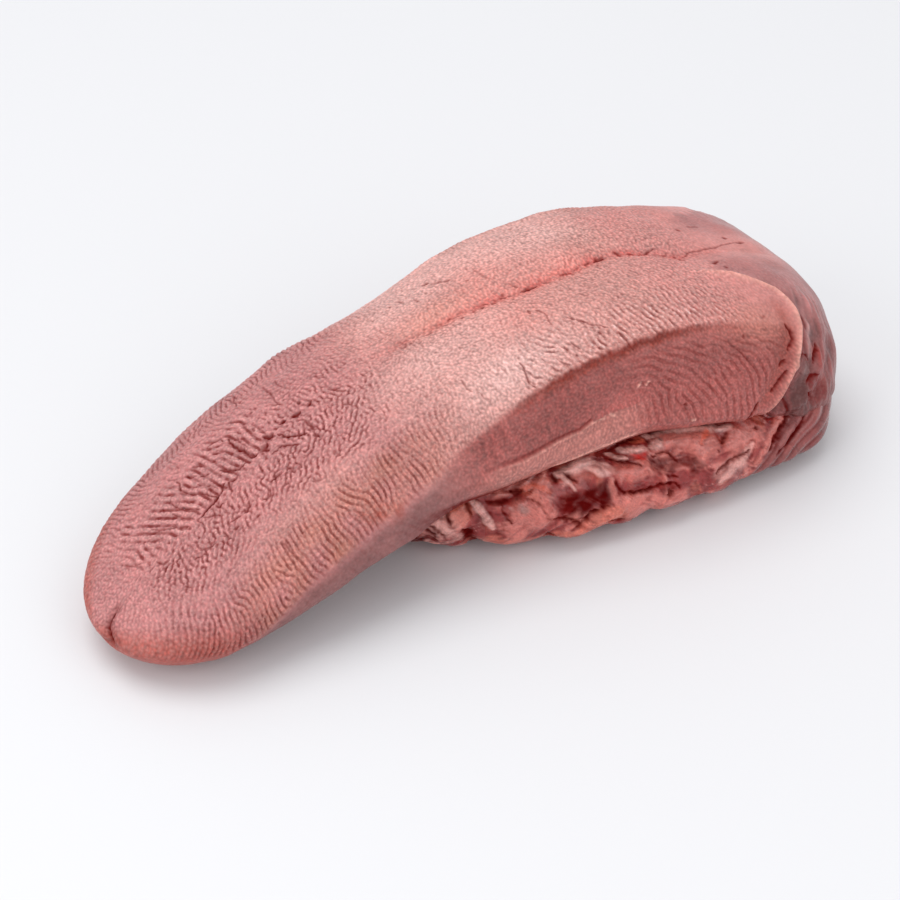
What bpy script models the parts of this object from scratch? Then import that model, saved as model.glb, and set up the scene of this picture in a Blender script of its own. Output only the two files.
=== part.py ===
# A raw beef tongue lying on its cut root: the skinned body with its thin blade and
# high base, and under it the trimmed muscle and fat of the root, fused into one solid.
# Metres, z up. Along the tongue, x runs from the tip (0) to the cut end (LENGTH).
# Round a section, the angle is 0 at the near edge (-y), 90 on the back of the tongue
# and 180 at the far edge (+y).
import bpy
import bmesh
import numpy as np

LENGTH = 0.344
SEED = 7

# The body's sizes at distances from the tip: (distance, size)
HALF_WIDTH = ((0, .042), (.025, .046), (.055, .0525), (.090, .058), (.135, .0595), (.225, .0595),
              (.270, .059), (.305, .057), (.344, .054))
TOP = ((0, .021), (.025, .030), (.055, .042), (.090, .055), (.130, .069), (.175, .082),
       (.215, .091), (.245, .093), (.280, .088), (.315, .077), (.344, .062))
WIDEST_LINE = ((0, .015), (.050, .023), (.105, .033), (.150, .038), (.190, .043), (.230, .049),
               (.270, .047), (.310, .038), (.344, .030))
UNDERSIDE = ((0, .003), (.030, -.001), (.060, .003), (.095, .017), (.130, .028), (.170, .031),
             (.220, .030), (.265, .027), (.290, .020), (.312, .004), (.344, 0))
BEND = ((0, -.025), (.035, -.019), (.080, -.009), (.130, -.003), (.180, -.003), (.230, -.008),
        (.290, -.015), (.344, -.020))

# How boxy the section is, as a superellipse's power: 2 is an ellipse
BOXY_ABOVE = ((0, 2.2), (.090, 2.2), (.150, 2.4), (.190, 2.9), (.230, 3.5), (.300, 3.3), (.344, 2.6))
BOXY_BELOW = ((0, 2.2), (.110, 2.4), (.150, 3.2), (.290, 3.2), (.344, 2.8))

TIP_ROUND = .046
END_ROUND = .046
TIP_ROUND_HIGH = .030
END_ROUND_HIGH = .040
TIP_POWER = 2.1
END_POWER = 2.35

# Furrow along the back: (distance, angle) and (distance, depth)
FURROW_ANGLE = ((.142, 100), (.182, 94), (.203, 89), (.240, 94), (.270, 86), (.298, 85))
FURROW_DEPTH = ((.110, 0), (.150, .0016), (.200, .0034), (.260, .0026), (.300, .0016), (.325, 0))
FURROW_WIDTH = 6.5

# Where the skin ends above the root: a lip over a crevice, (distance, angle), then the sizes of
# lip, crevice and the hollow flank above them, with the degrees they lie from the line and span
LIP_ANGLE = ((.108, 10), (.133, 9), (.154, 6), (.179, 3), (.198, 1), (.223, 0), (.247, -4), (.272, -9))
LIP_BEGINS = (.110, .150)
LIP_ENDS = (.262, .290)
LIP_OUT = .0016
LIP_ABOVE = 3
LIP_SPAN = 5
CREVICE_IN = .0042
CREVICE_BELOW = 14
CREVICE_SPAN = 9
FLANK_HOLLOW = .0026
FLANK_AT = 19
FLANK_SPAN = 10

# The fold that borders the base at the back, by angle: (angle, distance), with the angles
# over which it rises from the flank and fades towards the top and on the far side
BORDER = ((-12, .270), (0, .286), (20, .296), (38, .299), (52, .292), (70, .266))
BORDER_RISES = (-30, -10)
BORDER_FADES = (48, 74)
BORDER_FADES_FAR = (100, 122)
BORDER_RIDGE = .0020
RIDGE_AHEAD = .002
RIDGE_WIDTH = .006
BORDER_GROOVE = .0038
GROOVE_FADES = (25, 62)
GROOVE_BEHIND = .011
GROOVE_WIDTH = .007
SECOND_GROOVE_BEHIND = .027
SECOND_GROOVE_WIDTH = .005
SECOND_GROOVE_SHARE = .5

# Hollow between that fold and the end, by angle: how deep, where it starts, its middle and span
END_HOLLOW = .0028
END_HOLLOW_STARTS = (.300, .318)
END_HOLLOW_AT = 18
END_HOLLOW_SPAN = 30

# Notch in the tip's front
NOTCH_Y = -.033
NOTCH_DEPTH = .0026
NOTCH_WIDTH = .0035
NOTCH_LENGTH = .014
NOTCH_FADES = (-50, -10)

# Shallow swellings of the skin, and how far from the two ends they reach full size
SWELL = .0007
SWELL_WAVES = 9
SWELL_PITCH = 190
SWELL_ROUND = 7
SWELL_AFTER_TIP = .06
SWELL_BEFORE_END = .05

# Relief is never divided by less than this reach, so the poles stay smooth
LEAST_REACH = .004

# Cut root under the base
ROOT_START = .112
ROOT_FINISH = .341
ROOT_ROUND_FRONT = .030
ROOT_ROUND_BACK = .034
ROOT_HALF_WIDTH = ((.112, .034), (.135, .040), (.165, .056), (.200, .067), (.240, .067),
                   (.280, .063), (.310, .058), (.341, .047))
ROOT_TOP = ((.112, .024), (.140, .036), (.200, .042), (.260, .042), (.341, .040))
ROOT_WIDEST = .014
ROOT_BASE = -.001
ROOT_POWER = 2.2
ROOT_BOXY_ABOVE = 2.4
ROOT_BOXY_BELOW = 3.0
BUNDLE_PITCH = .023
BUNDLE_SLANT = .020
BUNDLE_RELIEF = .0018
BUNDLE_FADES = (.3, .8)

# Lobes of muscle and fat that swell out of the root: (x, y, z) and half sizes
LOBES = (
    ((.146, -.033, .017), (.017, .014, .019)),
    ((.186, -.049, .015), (.030, .020, .018)),
    ((.238, -.060, .020), (.030, .015, .019)),
    ((.283, -.057, .020), (.024, .016, .022)),
    ((.172, .041, .014), (.032, .018, .019)),
    ((.240, .046, .018), (.040, .016, .021)),
)
LOBE_TURN = -12
LOBE_AROUND = 18
LOBE_RINGS = 12

# How finely the two lofts are divided; crowding draws stations towards the ends
BODY_STATIONS = 62
BODY_AROUND = 60
BODY_CROWDING = .55
ROOT_STATIONS = 32
ROOT_AROUND = 40
ROOT_CROWDING = .5

# Slab pared off below the floor
SLAB_THICK = .05
SLAB_LONGER = 1.4


def along(keys, where):
    """A smooth curve through (distance, value) keys that never overshoots them."""
    x, value = np.array(keys, float).T
    slope = np.diff(value) / np.diff(x)
    tangent = np.zeros_like(value)
    rising = slope[:-1] * slope[1:]
    total = slope[:-1] + slope[1:]
    keeps = rising > 0
    tangent[1:-1][keeps] = 2 * rising[keeps] / total[keeps]
    tangent[0], tangent[-1] = slope[0], slope[-1]
    where = np.clip(where, x[0], x[-1])
    i = np.clip(np.searchsorted(x, where, side="right") - 1, 0, len(x) - 2)
    step = x[i + 1] - x[i]
    t = (where - x[i]) / step
    return ((2 * t**3 - 3 * t**2 + 1) * value[i] + (t**3 - 2 * t**2 + t) * step * tangent[i]
            + (3 * t**2 - 2 * t**3) * value[i + 1] + (t**3 - t**2) * step * tangent[i + 1])


def hump(offset, width):
    """A bell of height 1 over the offset 0."""
    return np.exp(-(offset / width) ** 2)


def ramp(value, low, high):
    """From 0 at low to 1 at high, eased at both ends."""
    t = np.clip((value - low) / (high - low), 0, 1)
    return t * t * (3 - 2 * t)


def rounded(distance, radius, power):
    """How far a section has grown at this distance from a rounded end."""
    t = np.clip(distance / radius, 0, 1)
    return (1 - (1 - t) ** power) ** (1 / power)


def superellipse(angle, half_width, up, down, boxy_above, boxy_below):
    """Sideways and upward offset of a section's outline from its centre."""
    c = np.cos(angle)
    s = np.sin(angle)
    height = np.where(s >= 0, up, down)
    power = np.where(s >= 0, boxy_above, boxy_below)
    reach = (np.abs(c / half_width) ** power + np.abs(s / height) ** power) ** (-1 / power)
    return reach * c, reach * s


def unevenness(x, angle, size):
    """Shallow swellings a few centimetres across, the sum of seeded waves."""
    draw = np.random.default_rng(SEED)
    total = 0
    for _ in range(SWELL_WAVES):
        per_metre = draw.uniform(-SWELL_PITCH, SWELL_PITCH)
        round_count = draw.integers(1, SWELL_ROUND)
        phase = draw.uniform(0, 2 * np.pi)
        total = total + np.sin(per_metre * x + round_count * angle + phase)
    return size * total / np.sqrt(SWELL_WAVES)


def body_relief(x, angle, y):
    """How far the skin stands out (+) or lies in (-) along the section's radius."""
    degrees = (np.degrees(angle) + 180) % 360 - 180
    side = np.degrees(np.arcsin(np.sin(angle)))
    above = degrees - along(FURROW_ANGLE, x)
    furrow = -along(FURROW_DEPTH, x) * hump(above, FURROW_WIDTH)

    over_root = ramp(x, *LIP_BEGINS) * (1 - ramp(x, *LIP_ENDS))
    from_lip = side - along(LIP_ANGLE, x)
    lip = LIP_OUT * hump(from_lip - LIP_ABOVE, LIP_SPAN)
    crevice = CREVICE_IN * hump(from_lip + CREVICE_BELOW, CREVICE_SPAN)
    hollow = FLANK_HOLLOW * hump(side - FLANK_AT, FLANK_SPAN)
    flank = over_root * (lip - crevice - hollow)

    behind = x - along(BORDER, side)
    on_fold = ramp(side, *BORDER_RISES) * (1 - ramp(side, *BORDER_FADES))
    on_fold = on_fold * (1 - ramp(degrees, *BORDER_FADES_FAR))
    ridge = BORDER_RIDGE * hump(behind + RIDGE_AHEAD, RIDGE_WIDTH)
    grooves = (hump(behind - GROOVE_BEHIND, GROOVE_WIDTH)
               + SECOND_GROOVE_SHARE * hump(behind - SECOND_GROOVE_BEHIND, SECOND_GROOVE_WIDTH))
    border = on_fold * (ridge - BORDER_GROOVE * (1 - ramp(side, *GROOVE_FADES)) * grooves)
    end_hollow = ramp(x, *END_HOLLOW_STARTS) * hump(degrees - END_HOLLOW_AT, END_HOLLOW_SPAN)
    border = border - END_HOLLOW * end_hollow

    notch = -NOTCH_DEPTH * hump(y - NOTCH_Y, NOTCH_WIDTH) * hump(x, NOTCH_LENGTH)
    notch = notch * ramp(degrees, *NOTCH_FADES)
    swells = unevenness(x, angle, SWELL) * ramp(x, 0, SWELL_AFTER_TIP)
    swells = swells * ramp(LENGTH - x, 0, SWELL_BEFORE_END)
    return furrow + flank + border + notch + swells


def body_surface(x, angle):
    """Skin of the tongue: superellipse sections that close round the tip and the end."""
    end = LENGTH - x
    grown = rounded(x, TIP_ROUND, TIP_POWER) * rounded(end, END_ROUND, END_POWER)
    grown_high = rounded(x, TIP_ROUND_HIGH, TIP_POWER) * rounded(end, END_ROUND_HIGH, END_POWER)
    centre = along(WIDEST_LINE, x)
    up = (along(TOP, x) - centre) * grown_high
    down = (centre - along(UNDERSIDE, x)) * grown_high
    across, height = superellipse(angle, along(HALF_WIDTH, x) * grown, up, down,
                                  along(BOXY_ABOVE, x), along(BOXY_BELOW, x))
    reach = np.hypot(across, height)
    relief = body_relief(x, angle, along(BEND, x) - across) * grown
    scale = 1 + relief / np.maximum(reach, LEAST_REACH)
    return np.stack([x + 0 * across, along(BEND, x) - across * scale, centre + height * scale], -1)


def root_surface(x, angle):
    """Cut root: wide and low, flat below, ribbed by muscle bundles that run aslant."""
    grown = (rounded(x - ROOT_START, ROOT_ROUND_FRONT, ROOT_POWER)
             * rounded(ROOT_FINISH - x, ROOT_ROUND_BACK, ROOT_POWER))
    up = (along(ROOT_TOP, x) - ROOT_WIDEST) * grown
    down = (ROOT_WIDEST - ROOT_BASE) * grown ** .5
    across, height = superellipse(angle, along(ROOT_HALF_WIDTH, x) * grown, up, down,
                                  ROOT_BOXY_ABOVE, ROOT_BOXY_BELOW)
    slant = (x + BUNDLE_SLANT * np.sin(angle)) / BUNDLE_PITCH
    standing = BUNDLE_RELIEF * grown * (1 - ramp(-np.sin(angle), *BUNDLE_FADES))
    bundles = standing * np.sin(2 * np.pi * slant)
    scale = 1 + bundles / np.maximum(np.hypot(across, height), LEAST_REACH)
    height = ROOT_WIDEST + height * scale
    return np.stack([x + 0 * across, along(BEND, x) - across * scale, height], -1)


def stations(start, finish, count, crowding):
    """Distances from start to finish, closer together towards both ends."""
    t = np.linspace(0, 1, count)
    eased = .5 - .5 * np.cos(np.pi * t)
    return start + (finish - start) * (crowding * eased + (1 - crowding) * t)


def loft(name, surface, x, around, collection):
    """A closed skin over the sections of a surface, with a pole at each end."""
    angle = np.arange(around) * 2 * np.pi / around
    sections = surface(x[1:-1, None], angle[None, :])
    count = len(sections)
    poles = []
    for end in (0, -1):
        pole = sections[end].mean(axis=0)
        pole[0] = x[end]
        poles.append(pole)
    points = np.concatenate([sections.reshape(-1, 3), poles])
    tip_pole = count * around
    end_pole = tip_pole + 1
    faces = []
    for j in range(around):
        k = (j + 1) % around
        faces.append((tip_pole, j, k))
        faces.append((end_pole, (count - 1) * around + k, (count - 1) * around + j))
        for i in range(count - 1):
            faces.append((i * around + j, (i + 1) * around + j, (i + 1) * around + k, i * around + k))
    mesh = bpy.data.meshes.new(name)
    mesh.from_pydata(points.tolist(), [], faces)
    tidy = bmesh.new()
    tidy.from_mesh(mesh)
    bmesh.ops.recalc_face_normals(tidy, faces=tidy.faces)
    tidy.to_mesh(mesh)
    tidy.free()
    piece = bpy.data.objects.new(name, mesh)
    collection.objects.link(piece)
    return piece


def lobe(name, place, half_sizes, collection):
    """One swelling of the root: a sphere stretched along the tongue and turned a little."""
    mesh = bpy.data.meshes.new(name)
    shape = bmesh.new()
    bmesh.ops.create_uvsphere(shape, u_segments=LOBE_AROUND, v_segments=LOBE_RINGS, radius=1)
    bmesh.ops.scale(shape, verts=shape.verts, vec=half_sizes)
    turn = np.radians(LOBE_TURN)
    for vert in shape.verts:
        x, y, z = vert.co
        vert.co = (x * np.cos(turn) - y * np.sin(turn), x * np.sin(turn) + y * np.cos(turn), z)
    bmesh.ops.translate(shape, verts=shape.verts, vec=place)
    shape.to_mesh(mesh)
    shape.free()
    piece = bpy.data.objects.new(name, mesh)
    collection.objects.link(piece)
    return piece


def applied(piece):
    """Put the mesh that the modifiers give in place of the object's own."""
    bpy.context.view_layer.update()
    evaluated = piece.evaluated_get(bpy.context.evaluated_depsgraph_get())
    mesh = bpy.data.meshes.new_from_object(evaluated)
    piece.modifiers.clear()
    piece.data = mesh


def fuse(piece, collection):
    """Join the collection's objects to the piece, then remove them."""
    union = piece.modifiers.new("fuse", "BOOLEAN")
    union.operation = "UNION"
    union.operand_type = "COLLECTION"
    union.collection = collection
    union.solver = "EXACT"
    applied(piece)
    for used in list(collection.objects):
        bpy.data.objects.remove(used, do_unlink=True)


def trim_below_floor(piece, collection):
    """Pare off what hangs below z = 0, which leaves the flats that the tongue lies on."""
    bpy.ops.mesh.primitive_cube_add(size=1, location=(LENGTH / 2, 0, -SLAB_THICK / 2))
    slab = bpy.context.object
    slab.scale = (LENGTH * SLAB_LONGER, LENGTH, SLAB_THICK)
    slab.hide_render = True
    slab.display_type = "WIRE"
    for owner in list(slab.users_collection):
        owner.objects.unlink(slab)
    collection.objects.link(slab)
    cut = piece.modifiers.new("trim", "BOOLEAN")
    cut.operation = "DIFFERENCE"
    cut.object = slab
    cut.solver = "EXACT"
    applied(piece)
    bpy.data.objects.remove(slab, do_unlink=True)


def islands(shape):
    """Groups of faces that hang together by their edges."""
    waiting = set(shape.faces)
    while waiting:
        group = [waiting.pop()]
        for face in group:
            for edge in face.edges:
                for neighbour in edge.link_faces:
                    if neighbour in waiting:
                        waiting.remove(neighbour)
                        group.append(neighbour)
        yield group


def keep_outer_skin(piece):
    """Fill hollows that fusing sealed, by dropping every surface but the largest."""
    shape = bmesh.new()
    shape.from_mesh(piece.data)
    groups = sorted(islands(shape), key=len, reverse=True)
    for group in groups[1:]:
        bmesh.ops.delete(shape, geom=group, context="FACES")
    shape.to_mesh(piece.data)
    shape.free()


def centre_on_base(piece):
    """Move the mesh so that its box stands on the origin."""
    shape = bmesh.new()
    shape.from_mesh(piece.data)
    points = np.array([vert.co for vert in shape.verts])
    low = points.min(axis=0)
    high = points.max(axis=0)
    middle = (low + high) / 2
    bmesh.ops.translate(shape, verts=shape.verts, vec=(-middle[0], -middle[1], -low[2]))
    shape.to_mesh(piece.data)
    shape.free()


def raw_flesh():
    """Pale greyish pink, moist."""
    material = bpy.data.materials.new("raw_flesh")
    material.use_nodes = True
    shader = material.node_tree.nodes["Principled BSDF"]
    shader.inputs["Base Color"].default_value = (.58, .36, .33, 1)
    shader.inputs["Roughness"].default_value = .42
    shader.inputs["Metallic"].default_value = 0
    return material


for leftover in list(bpy.data.objects):
    bpy.data.objects.remove(leftover, do_unlink=True)

whole = bpy.data.collections.new("beef_tongue")
to_fuse = bpy.data.collections.new("to_fuse")
cutters = bpy.data.collections.new("cutters")
for group in (whole, to_fuse, cutters):
    bpy.context.scene.collection.children.link(group)

body_x = stations(0, LENGTH, BODY_STATIONS, BODY_CROWDING)
root_x = stations(ROOT_START, ROOT_FINISH, ROOT_STATIONS, ROOT_CROWDING)
tongue = loft("tongue", body_surface, body_x, BODY_AROUND, whole)
loft("root", root_surface, root_x, ROOT_AROUND, to_fuse)
for number, (place, half_sizes) in enumerate(LOBES):
    lobe("lobe_%d" % number, place, half_sizes, to_fuse)
fuse(tongue, to_fuse)
trim_below_floor(tongue, cutters)
keep_outer_skin(tongue)
centre_on_base(tongue)
tongue.data.materials.clear()
tongue.data.materials.append(raw_flesh())
tongue.data.shade_smooth()
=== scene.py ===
import math
import bpy
import numpy as np
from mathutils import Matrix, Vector


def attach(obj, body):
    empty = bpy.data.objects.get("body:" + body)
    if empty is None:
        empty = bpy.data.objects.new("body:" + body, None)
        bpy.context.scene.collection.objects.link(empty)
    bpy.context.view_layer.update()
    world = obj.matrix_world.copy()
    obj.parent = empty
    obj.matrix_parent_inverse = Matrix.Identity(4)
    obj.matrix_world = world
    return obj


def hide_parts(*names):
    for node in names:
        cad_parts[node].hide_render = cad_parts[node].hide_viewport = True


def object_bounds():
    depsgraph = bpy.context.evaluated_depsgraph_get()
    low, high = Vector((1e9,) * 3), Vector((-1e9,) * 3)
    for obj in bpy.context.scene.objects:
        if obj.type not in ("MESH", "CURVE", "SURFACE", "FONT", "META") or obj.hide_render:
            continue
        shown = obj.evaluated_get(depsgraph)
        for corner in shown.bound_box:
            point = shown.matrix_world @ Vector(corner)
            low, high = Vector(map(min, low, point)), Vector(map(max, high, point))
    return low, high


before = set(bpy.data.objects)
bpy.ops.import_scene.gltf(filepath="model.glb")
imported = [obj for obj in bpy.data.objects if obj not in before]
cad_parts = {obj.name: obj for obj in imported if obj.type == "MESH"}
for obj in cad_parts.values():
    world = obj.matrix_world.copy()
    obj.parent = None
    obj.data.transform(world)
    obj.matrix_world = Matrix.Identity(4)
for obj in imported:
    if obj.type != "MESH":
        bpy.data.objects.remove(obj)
cadLow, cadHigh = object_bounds()
print("frame loaded", [round(v, 4) for v in cadLow], [round(v, 4) for v in cadHigh])

# Shapes are worked out in millimetres: x from the tip along the tongue, y across it to the
# far side, z up. place() then moves them to the frame and to metres.
placing = dict(tipAt=cadLow[0] * 1000, acrossShift=8.2, metre=0.001)


def place(points):
    # the same point in the frame's metres: shifted so that the tip lies where the CAD has it
    return (points + np.array([placing["tipAt"], placing["acrossShift"], 0.0])) * placing["metre"]


# Plain helpers for whole arrays

def curve(keys, where):
    # smooth line through (place, value) keys: cubic pieces whose slopes never overshoot
    at, value = np.array(keys, float).T
    slope = np.diff(value) / np.diff(at)
    tangent = np.zeros_like(value)
    rising = slope[:-1] * slope[1:] > 0
    tangent[1:-1][rising] = (2 * slope[:-1] * slope[1:])[rising] / (slope[:-1] + slope[1:])[rising]
    tangent[0], tangent[-1] = slope[0], slope[-1]
    where = np.clip(where, at[0], at[-1])
    i = np.clip(np.searchsorted(at, where, side="right") - 1, 0, len(at) - 2)
    step = at[i + 1] - at[i]
    t = (where - at[i]) / step
    return ((2 * t**3 - 3 * t**2 + 1) * value[i] + (t**3 - 2 * t**2 + t) * step * tangent[i]
            + (3 * t**2 - 2 * t**3) * value[i + 1] + (t**3 - t**2) * step * tangent[i + 1])


def hump(offset, width):
    # bell of height 1 over offset 0
    return np.exp(-(offset / width) ** 2)


def ramp(value, low, high):
    # 0 below low, 1 above high, eased between; the other way round where low is the greater
    t = np.clip((value - low) / (high - low), 0, 1)
    return t * t * (3 - 2 * t)


def between(value, low, full, fading, gone):
    # 0 below low, 1 from full to fading, 0 again above gone
    return ramp(value, low, full) * ramp(value, gone, fading)


def mix(a, b, amount):
    # a where amount is 0, b where it is 1
    return a + (b - a) * amount


def waves(x, y, size, seed, count=14):
    # soft unevenness between -1 and 1: a sum of sines, each about size across, in random directions
    draw = np.random.default_rng(seed)
    total = 0
    for _ in range(count):
        heading = draw.uniform(0, 2 * np.pi)
        pitch = 2 * np.pi / (size * draw.uniform(0.7, 1.6))
        total = total + np.sin(pitch * (x * np.cos(heading) + y * np.sin(heading)) + draw.uniform(0, 6.3))
    return total / count ** 0.5 / 1.4


def followLine(x, y, line):
    # distance of each point from a broken line of (x, y) points, and how far along it, 0 to 1, it lies
    best = np.full(np.broadcast(x, y).shape, 1e9)
    along = np.zeros_like(best)
    done = 0.0
    for (ax, ay), (bx, by) in zip(line[:-1], line[1:]):
        dx, dy = bx - ax, by - ay
        t = np.clip(((x - ax) * dx + (y - ay) * dy) / (dx * dx + dy * dy), 0, 1)
        distance = np.hypot(x - ax - t * dx, y - ay - t * dy)
        closer = distance < best
        best = np.where(closer, distance, best)
        along = np.where(closer, done + t * math.hypot(dx, dy), along)
        done += math.hypot(dx, dy)
    return best, along / done


def nearLine(x, y, line):
    # distance of each point from a broken line
    return followLine(x, y, line)[0]


def pairs(flat):
    # (x, arc) points from a plain row of numbers
    return list(zip(flat[::2], flat[1::2]))


def rounded(distance, radius, power):
    # how far a section has grown at this distance from a rounded end
    t = np.clip(distance / radius, 0, 1)
    return (1 - (1 - t) ** power) ** (1 / power)


def superellipse(angle, halfWidth, up, down, boxyAbove, boxyBelow):
    # sideways and upward offset of an outline whose reach is (|c/w|^n + |s/h|^n)^(-1/n)
    c = np.cos(angle)
    s = np.sin(angle)
    height = np.where(s >= 0, up, down)
    power = np.where(s >= 0, boxyAbove, boxyBelow)
    reach = (np.abs(c / halfWidth) ** power + np.abs(s / height) ** power) ** (-1 / power)
    return reach * c, reach * s


def sample(image, row, column):
    # value of an image between its cells, by linear blending
    r = np.clip(row, 0, image.shape[0] - 1.001)
    c = np.clip(column, 0, image.shape[1] - 1.001)
    i = r.astype(int)
    j = c.astype(int)
    fr = r - i
    fc = c - j
    return ((image[i, j] * (1 - fr) + image[i + 1, j] * fr) * (1 - fc)
            + (image[i, j + 1] * (1 - fr) + image[i + 1, j + 1] * fr) * fc)


def gridNormals(points):
    # outward unit normals of a grid that closes round its second direction
    along = np.gradient(points, axis=0)
    around = (np.roll(points, -1, 1) - np.roll(points, 1, 1)) / 2
    normal = np.cross(around, along)
    normal /= np.linalg.norm(normal, axis=-1, keepdims=True) + 1e-12
    middle = points.mean(axis=1, keepdims=True)
    if ((points - middle) * normal).sum() < 0:
        normal = -normal
    return normal


def arcFromTop(section, angle):
    # distance round each section, sum(|steps|), less what it is at the top; the near side is negative
    step = np.linalg.norm(np.diff(section[..., 1:], axis=1), axis=-1)
    arc = np.concatenate([np.zeros((len(section), 1)), np.cumsum(step, axis=1)], axis=1)
    topAt = np.array([np.interp(90, np.degrees(angle), row) for row in arc])
    return arc - topAt[:, None]


# Making meshes

def tubeFaces(rows, columns):
    # quads of a closed tube, then a fan at each end to the two points that follow the grid
    i, j = np.meshgrid(np.arange(rows - 1), np.arange(columns), indexing="ij")
    k = (j + 1) % columns
    quads = np.stack([i * columns + j, i * columns + k, (i + 1) * columns + k, (i + 1) * columns + j], -1)
    rim = np.arange(columns)
    after = (rim + 1) % columns
    last = (rows - 1) * columns
    first = np.stack([np.full(columns, rows * columns), after, rim], -1)
    end = np.stack([np.full(columns, rows * columns + 1), last + rim, last + after], -1)
    return quads.reshape(-1, 4), np.concatenate([first, end])


def makeMesh(name, points, quads, triangles, tint, masks, normals):
    # a mesh from whole arrays, faces turned outward, with a colour and masks on its points
    corners = points[quads[:, [0, 1, 2]]]
    facing = np.cross(corners[:, 1] - corners[:, 0], corners[:, 2] - corners[:, 0])
    if (facing * (corners[:, 0] - points.mean(axis=0))).sum() < 0:
        quads = quads[:, ::-1]
        triangles = triangles[:, ::-1]
    mesh = bpy.data.meshes.new(name)
    mesh.vertices.add(len(points))
    mesh.vertices.foreach_set("co", place(points).astype(np.float32).ravel())
    loops = np.concatenate([quads.ravel(), triangles.ravel()]).astype(np.int32)
    mesh.loops.add(len(loops))
    mesh.loops.foreach_set("vertex_index", loops)
    starts = np.concatenate([np.arange(len(quads)) * 4, len(quads) * 4 + np.arange(len(triangles)) * 3])
    mesh.polygons.add(len(starts))
    mesh.polygons.foreach_set("loop_start", starts.astype(np.int32))
    mesh.update(calc_edges=True)
    mesh.shade_smooth()
    colour = mesh.attributes.new("tint", "FLOAT_COLOR", "POINT")
    opaque = np.concatenate([tint, np.ones((len(tint), 1))], 1)
    colour.data.foreach_set("color", opaque.astype(np.float32).ravel())
    for maskName, values in masks.items():
        mask = mesh.attributes.new(maskName, "FLOAT", "POINT")
        mask.data.foreach_set("value", values.astype(np.float32).ravel())
    mesh.normals_split_custom_set_from_vertices(normals.astype(np.float32))
    return mesh


def addPiece(name, mesh, material):
    # the mesh as one piece of the tongue, in place of the CAD's solid
    piece = bpy.data.objects.new(name, mesh)
    bpy.context.scene.collection.objects.link(piece)
    mesh.materials.append(material)
    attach(piece, "root")
    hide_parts("tongue")
    print(name, len(mesh.polygons), "faces")


def addSlices(name, count, points, tint, masks, tips, material):
    # a tube of rings cut across into closed pieces of equal length, each end closed on the middle
    # of its ring, p = sum(ring) / n; the two outermost tips lie at the given x
    per = (len(points) - 1) // count
    columns = points.shape[1]
    quads, triangles = tubeFaces(per + 1, columns)
    smooth = gridNormals(points)
    capNormals = np.array([[-1.0, 0, 0.1], [1.0, 0, 0]])
    for n in range(count):
        first, last = n * per, (n + 1) * per

        def withCaps(values):
            # this piece's rings, then the means of its first and last ring
            inner = values[first:last + 1].reshape((per + 1) * columns, -1)
            ends = np.stack([values[first].mean(axis=0), values[last].mean(axis=0)]).reshape(2, -1)
            return np.concatenate([inner, ends])

        shape = withCaps(points)
        if n == 0:
            shape[-2, 0] = tips[0]
        if n == count - 1:
            shape[-1, 0] = tips[1]
        normals = np.concatenate([smooth[first:last + 1].reshape(-1, 3), capNormals])
        cutMasks = {key: withCaps(values) for key, values in masks.items()}
        piece = "%s_%d" % (name, n + 1)
        mesh = makeMesh(piece, shape, quads, triangles, withCaps(tint), cutMasks, normals)
        addPiece(piece, mesh, material)


# The body's form, in the CAD's own sizes

bodyForm = dict(
    length=344.0,
    halfWidth=((0, 42), (25, 46), (55, 52.5), (90, 58), (135, 59.5), (225, 59.5), (270, 59), (305, 57),
               (344, 54)),
    top=((0, 21), (25, 30), (55, 42), (90, 55), (130, 69), (175, 82), (215, 91), (245, 93), (280, 88),
         (315, 77), (344, 62)),
    widestLine=((0, 15), (50, 23), (105, 33), (150, 38), (190, 43), (230, 49), (270, 47), (310, 38),
                (344, 30)),
    underside=((0, 3), (30, 0.2), (60, 3), (95, 17), (130, 28), (170, 31), (220, 30), (265, 27), (290, 20),
               (312, 4), (344, 0.6)),
    bend=((0, -25), (35, -19), (80, -9), (130, -3), (180, -3), (230, -8), (290, -15), (344, -20)),
    boxyAbove=((0, 2.2), (90, 2.2), (150, 2.4), (190, 2.9), (230, 3.5), (300, 3.3), (344, 2.6)),
    boxyBelow=((0, 2.2), (110, 2.4), (150, 3.2), (290, 3.2), (344, 2.8)),
    tipRound=46, endRound=46, tipRoundHigh=30, endRoundHigh=40, tipPower=2.1, endPower=2.35,
)


def bodySurface(x, angle):
    # superellipse sections on a bent line, closing round the tip and the cut end
    f = bodyForm
    end = f["length"] - x
    grown = rounded(x, f["tipRound"], f["tipPower"]) * rounded(end, f["endRound"], f["endPower"])
    grownHigh = rounded(x, f["tipRoundHigh"], f["tipPower"])
    grownHigh = grownHigh * rounded(end, f["endRoundHigh"], f["endPower"])
    centre = curve(f["widestLine"], x)
    up = (curve(f["top"], x) - centre) * grownHigh
    down = (centre - curve(f["underside"], x)) * grownHigh
    across, height = superellipse(angle, curve(f["halfWidth"], x) * grown, up, down,
                                  curve(f["boxyAbove"], x), curve(f["boxyBelow"], x))
    return np.stack([x + 0 * across, curve(f["bend"], x) - across, centre + height], -1), grown


# The skin: one closed grid, cut into closed slices so that each stays light

skin = dict(
    slices=7, alongPerSlice=168,
    nearFrom=-24, nearTo=132, nearCount=345,      # degrees round the section, where the skin shows most
    farTo=204, farCount=110, underCount=50,
    cell=0.33, halfGirth=126.0,                   # the wrinkle image's grid, millimetres
    seed=11, lowest=0.15,
)

# Spacing of the wrinkles, and how deep each kind is, both in millimetres
wrinkles = dict(
    coarse=3.5, fine=2.5, pebble=2.1, smallPebble=1.4, cell=2.4,
    back=0.05, blade=0.07, middle=0.18, strokes=0.04, nearShoulder=0.23, edgeBand=0.24, fingers=0.22,
)

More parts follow.
